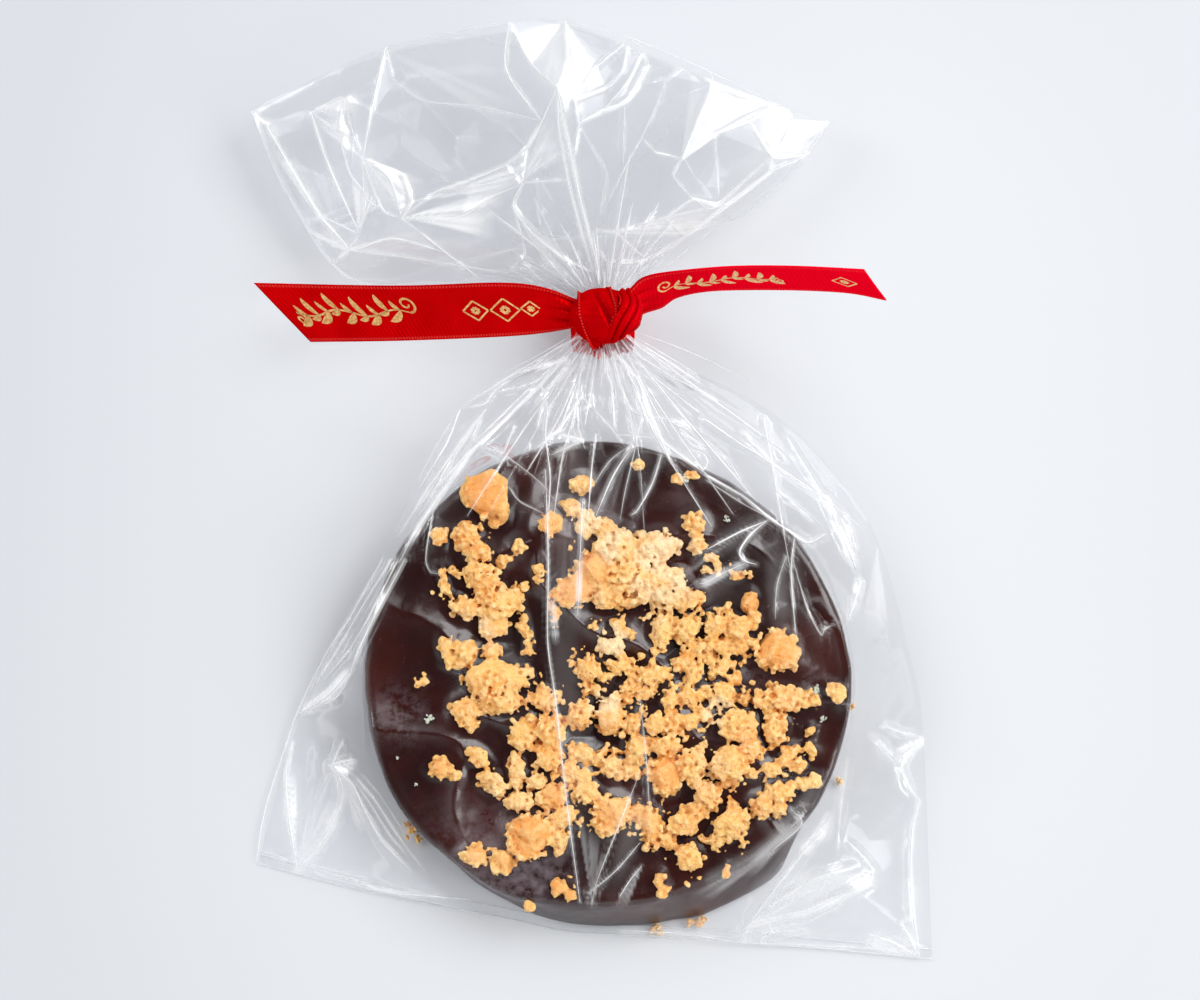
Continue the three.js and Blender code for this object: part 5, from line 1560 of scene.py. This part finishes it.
def bag():
    random = np.random.default_rng(23)
    centre = (NECK["x"], NECK["y"])
    body = BODY_FOLDS + spread_folds(random, 34, centre, (-152, -26), (10, 42))
    mouth = [(0.6, 0.25, glare, 0.15 + 0.25 * glare, [point[:2] for point in line])
             for glare, line in MOUTH_NET]
    mouth += spread_folds(random, 34, centre, (36, 172), (8, 30))
    body_grid = body_films(body)
    mouth_grid = mouth_films(mouth)
    crease_lines("body_creases", body, body_grid)
    crease_lines("mouth_creases", mouth, mouth_grid)
    hem()


# ---- The ribbon ----

# The two long edges of each tail, from the knot.
TAILS = {
    "left": {
        "top": [(-5, 67.4, 14.2), (-11.1, 69.5, 15.4), (-18.9, 70.4, 14.6), (-36.5, 70, 13),
                (-61.9, 70.5, 12)],
        "bottom": [(-5, 62.8, 13.2), (-11, 61.8, 11.6), (-19, 61.1, 11.2), (-36.5, 60.4, 11.6),
                   (-52, 60.2, 11)],
    },
    "right": {
        "top": [(2.9, 67.6, 15.2), (4.3, 69.7, 16), (7, 71.5, 16.5), (13.3, 72.4, 16.8), (22.3, 73.1, 16.6),
                (32.9, 73.1, 16), (44.6, 72.6, 14.6)],
        "bottom": [(2.9, 62.9, 13), (6.1, 65.1, 10.4), (9.4, 66.2, 8.8), (12.2, 68, 7.9), (17.4, 69.1, 7.4),
                   (25.1, 69.4, 7), (34.9, 69.3, 6.6), (42.7, 68.8, 6.2), (48.9, 67.6, 5.4)],
    },
}
RIBBON_THICKNESS = 0.28
TAIL_HALF = 4.9  # half a tail's width, as the print takes it
PRINT_LIFT = 0.05  # how far the print stands off the satin


def strap(centre, across, cup, length_uv, closed=False, pleat=0.0):
    """A band with a rounded back: columns run across it, bulging by cup times 1 less the square of
    the distance from its middle, in lengthwise pleats that wander as they go, and a second layer
    closes it one thickness below. The last result is painted shade, strongest at the bottom of each pleat."""
    columns = 51
    pleat = np.asarray(pleat, dtype=float).reshape(-1, 1)
    t = np.linspace(-1, 1, columns)
    if closed:
        heading = unit(np.roll(centre, -1, axis=0) - np.roll(centre, 1, axis=0))
    else:
        heading = unit(np.gradient(centre, axis=0))
    normal = unit(np.cross(heading, across))
    bulge = np.asarray(cup).reshape(-1, 1) * (1 - t**2)[None]
    fold = np.abs(np.sin(5.2 * t[None] + 1.6 * length_uv[:, None] + 0.4))
    bulge = bulge + pleat * fold * (1 - 0.5 * t**2)
    painted_fold_shade = np.minimum(pleat * 1.6, 1) * np.exp(-((fold / 0.3) ** 2)) * np.ones_like(bulge)
    top = centre[:, None] + across[:, None] * t[None, :, None] + normal[:, None] * bulge[..., None]
    under = top - normal[:, None] * RIBBON_THICKNESS
    ring = np.concatenate([top, under[:, ::-1]], axis=1)
    rows = len(centre)
    faces = grid_faces(rows, 2 * columns, joined=True)
    first, last = np.arange(rows * 2 * columns).reshape(rows, -1)[[0, -1]]
    if closed:
        ends = [np.stack([last, np.roll(last, -1), np.roll(first, -1), first], axis=-1)]
    else:
        ends = []
        for row, flip in ((first, False), (last, True)):
            there, back = row[:columns], row[::-1][:columns]
            quads = np.stack([there[:-1], there[1:], back[1:], back[:-1]], axis=-1)
            ends.append(quads if flip else quads[:, ::-1])
    faces = np.vstack([faces, *ends])
    v = np.concatenate([(t + 1) / 2, (t[::-1] + 1) / 2])
    uv = np.stack(np.broadcast_arrays(length_uv[:, None], v[None]), axis=-1)
    painted_fold_shade = np.concatenate([painted_fold_shade, painted_fold_shade[:, ::-1]], axis=1)
    return ring.reshape(-1, 3), faces, uv.reshape(-1, 2), painted_fold_shade.ravel()


def satin_piece(name, parts):
    """One piece from several straps."""
    points, faces = joined_parts([(part[0], part[1]) for part in parts])
    uv = np.vstack([part[2] for part in parts])
    painted_fold_shade = np.concatenate([part[3] for part in parts])
    piece = mesh_piece(name, points, faces, SATIN, {"painted_fold_shade": painted_fold_shade}, uv)
    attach(piece, "root")
    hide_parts("ribbon")
    return piece


def tail_lines(side, rows=120):
    """A tail's middle line, half its width as a vector, and the distance along it."""
    share = np.linspace(0, 1, rows)
    top, bottom = (along_path(TAILS[side][edge], share) for edge in ("top", "bottom"))
    centre = 0.5 * (top + bottom)
    across = 0.5 * (bottom - top) if side == "left" else 0.5 * (top - bottom)
    return centre, across, distance_along(centre)


def tail_cup(length):
    """How far a tail's middle bulges, by the distance along it."""
    return 0.35 * np.exp(-((length - 4) / 7) ** 2) + 0.12 * np.sin(length / 6.0)


def tails():
    """The two loose ends, pleated by the knot."""
    for side in ("left", "right"):
        centre, across, length = tail_lines(side)
        pleat = 0.6 * np.exp(-((length / 4.5) ** 2))
        band = strap(centre, across, tail_cup(length), length / 10, pleat=pleat)
        tail = satin_piece(side + "_tail", [band])
        tail.visible_shadow = tail.visible_diffuse = False
        tail.visible_glossy = side == "left"


def loop_band():
    """The ribbon round the neck: wide and pleated behind, narrow under the knot."""
    steps = 240
    turn = np.linspace(0, 2 * np.pi, steps, endpoint=False)
    front = 0.5 + 0.5 * np.sin(turn)
    pleat = 0.16 * np.sin(26 * turn) * (1 - front)
    radius = NECK["radius"] + 0.75 + pleat
    centre = np.stack([
        NECK["x"] + radius * np.cos(turn),
        NECK["y"] - 2.0 * (1 - front) + 0.25 * np.sin(5 * turn),
        NECK["z"] + radius * np.sin(turn),
    ], axis=-1)
    half = lerp(4.6, 3.0, front) + 0.2 * np.sin(17 * turn)
    across = np.zeros_like(centre)
    across[:, 1] = -half
    return strap(centre, across, 0.25 * np.ones(steps), turn * radius / 10, closed=True)


def wrap_band(route, across, half, cup):
    """A short stretch of ribbon bent over the knot."""
    share = np.linspace(0, 1, 70)
    centre = along_path(route, share)
    side = unit(along_path(across, share)) * along_path(np.array(half)[:, None] * [1, 1], share)[:, :1]
    bulge = along_path(np.array(cup)[:, None] * [1, 1], share)[:, 0]
    return strap(centre, side, bulge, distance_along(centre) / 10, pleat=0.6)


def knot():
    """A firm lump with the ribbon bent over it: one turn down its front, one that leaves to the right."""
    points, faces = ball(5)
    x, y, z = points.T
    crease = np.exp(-((x - 0.2 + 0.45 * y) ** 2) / 0.012) * np.clip(z, 0, 1)
    size = 1 - 0.16 * crease + 0.03 * clouds(points, 0.5, 201, 2)
    lump = points * size[:, None] * [5.6, 4.9, 3.2] + [KNOT["x"], KNOT["y"], KNOT["z"]]
    uv = np.stack([0.3 * y + 0.5, 0.5 + 0.35 * x], axis=-1)
    front = wrap_band(
        [(-2.6, 69.0, 11.8), (-2.4, 69.3, 14.6), (-2.0, 66.6, 17.2), (-1.2, 62.6, 17.0), (-0.2, 59.7, 14.6),
         (0.1, 60.2, 12.2)],
        [(-1, -0.1, 0), (-1, -0.15, 0), (-1, -0.25, -0.1), (-1, -0.35, -0.1), (-1, -0.4, 0), (-1, -0.4, 0)],
        [2.6, 2.9, 3.3, 3.5, 3.0, 2.4], [0.5, 0.7, 0.9, 1.0, 0.8, 0.5])
    over = wrap_band(
        [(-0.4, 60.9, 12.6), (1.4, 61.3, 15.6), (3.0, 63.6, 17.0), (4.0, 66.4, 16.6), (3.2, 68.9, 14.0)],
        [(-0.7, -0.7, 0), (-0.8, 0.5, 0), (-0.9, 0.4, 0.2), (-1, 0.1, 0.2), (-1, 0, 0)],
        [1.6, 2.2, 2.6, 2.4, 1.8], [0.4, 0.7, 0.9, 0.8, 0.4])
    # Painted shade: the whole knot is darkened, most of all along its crease.
    satin_piece("knot", [(lump, faces, uv, 0.2 + 0.8 * np.clip(crease, 0, 1))])
    satin_piece("knot_turns", [front, over])


# ---- Gold print on the ribbon: a generic leafy sprig and small diamonds ----


def stroke(points, widths):
    """A flat line of varying width along points of the plane, as a grid of three columns."""
    side = left_of(points) * 0.5 * widths[:, None]
    return np.stack([points + side, points, points - side], axis=1)


def leaf(base, angle, length, width):
    """A pointed leaf: its width follows a sine to the power 0.8 from base to tip, and it curls a little."""
    share = np.linspace(0, 1, 14)
    bend = angle + 0.5 * (share - 0.3)
    points = np.array(base) + (length * share)[:, None] * np.stack([np.cos(bend), np.sin(bend)], axis=1)
    return stroke(points, 0.08 + width * np.sin(np.pi * share) ** 0.8)


def curl(base, angle, size, way):
    """A tendril: a spiral whose radius shrinks to a fifth over a turn and a quarter."""
    share = np.linspace(0, 1, 34)
    turn = angle + way * share * 2.5 * np.pi
    radius = size * lerp(1, 0.2, share)
    centre = np.array(base) + size * np.array([-math.cos(angle), -math.sin(angle)])
    points = centre + radius[:, None] * np.stack([np.cos(turn), np.sin(turn)], axis=1)
    return stroke(points, lerp(0.42, 0.3, share))


def sprig(start, length):
    """A wavy stem with leaves on both sides by turns, and a tendril at each end."""
    share = np.linspace(0, 1, 60)
    stem = np.stack([start + length * share, 0.55 * np.sin(4 * np.pi * share)], axis=1)
    shapes = [stroke(stem, 0.22 + 0.12 * np.sin(np.pi * share))]
    for number in range(9):
        at = 0.08 + 0.84 * number / 8
        base = (start + length * at, 0.55 * math.sin(4 * math.pi * at))
        side = 1 if number % 2 else -1
        shapes.append(leaf(base, side * 0.95, 3.0 if number % 3 else 3.5, 1.0))
        shapes.append(leaf(base, -side * 0.7, 2.0, 0.7))
    shapes.append(curl((start, 0.0), -0.5 * math.pi, 1.5, -1))
    shapes.append(curl((start + length, 0.0), 0.5 * math.pi, 1.1, 1))
    return shapes


def diamond(middle, size):
    """A diamond drawn with one line, and a smaller solid one in it."""
    corners = np.array([[1, 0], [0, 0.8], [-1, 0], [0, -0.8], [1, 0]])
    shapes = []
    for scale, width in ((size, 0.3), (0.3 * size, 0.55)):
        for one, other in zip(corners[:-1], corners[1:]):
            line = lerp(one, other, np.linspace(0, 1, 6)[:, None]) * scale + middle
            shapes.append(stroke(line, np.full(6, width)))
    return shapes


def print_on(side, shapes):
    """Lays flat shapes on a tail: along is distance from the knot, and up is towards its top edge."""
    centre, across, length = tail_lines(side)
    heading = unit(np.gradient(centre, axis=0))
    normal = unit(np.cross(heading, across))
    known = (*centre.T, *across.T, *normal.T, tail_cup(length))
    parts = []
    for shape in shapes:
        rows, columns = shape.shape[:2]
        along, up = shape[..., 0].ravel(), shape[..., 1].ravel()
        keep = [np.interp(along, length, line) for line in known]
        middle, wide, out = (np.stack(keep[k:k + 3], axis=-1) for k in (0, 3, 6))
        t = up / TAIL_HALF * (-1 if side == "left" else 1)
        bulge = keep[9] * (1 - t**2) + PRINT_LIFT
        parts.append((middle + wide * t[:, None] + out * bulge[:, None], grid_faces(rows, columns)))
    return parts


def foil():
    left = print_on("left", sprig(29.5, 20.0) + diamond(np.array([13.0, 0.0]), 2.6)
                    + diamond(np.array([18.2, 0.0]), 2.2) + diamond(np.array([8.4, 0.3]), 1.8))
    right = print_on("right", sprig(8.5, 20.0) + diamond(np.array([40.2, 0.0]), 2.2))
    points, faces = joined_parts(left + right)
    piece = mesh_piece("gold_print", points, faces, foil_finish())
    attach(piece, "root")
    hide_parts("ribbon")


def ribbon():
    satin_piece("loop", [loop_band()])
    tails()
    knot()
    foil()


FILM = film_finish("clear_film", clear=0.008, edge=0.24, white=0.7)
MOUTH_FILM = film_finish("clear_film_mouth", clear=0.008, edge=0.24, white=0.7, let_through=0.96)
CREASE = film_finish("creased_film", clear=0.05, edge=0.3, white=0.8)
SATIN = satin_finish()

studio()
chocolate()
nougat()
clusters("pale_flakes", FLAKES, flat=0.6, seed=5,
         finish=plain_finish("pale_flake", rgb(206, 214, 198), roughness=0.6, size=0.3, depth=0.1))
clusters("fallen_crumbs", FALLEN, flat=1.0, seed=6, finish=crumb_finish())
bag()
ribbon()
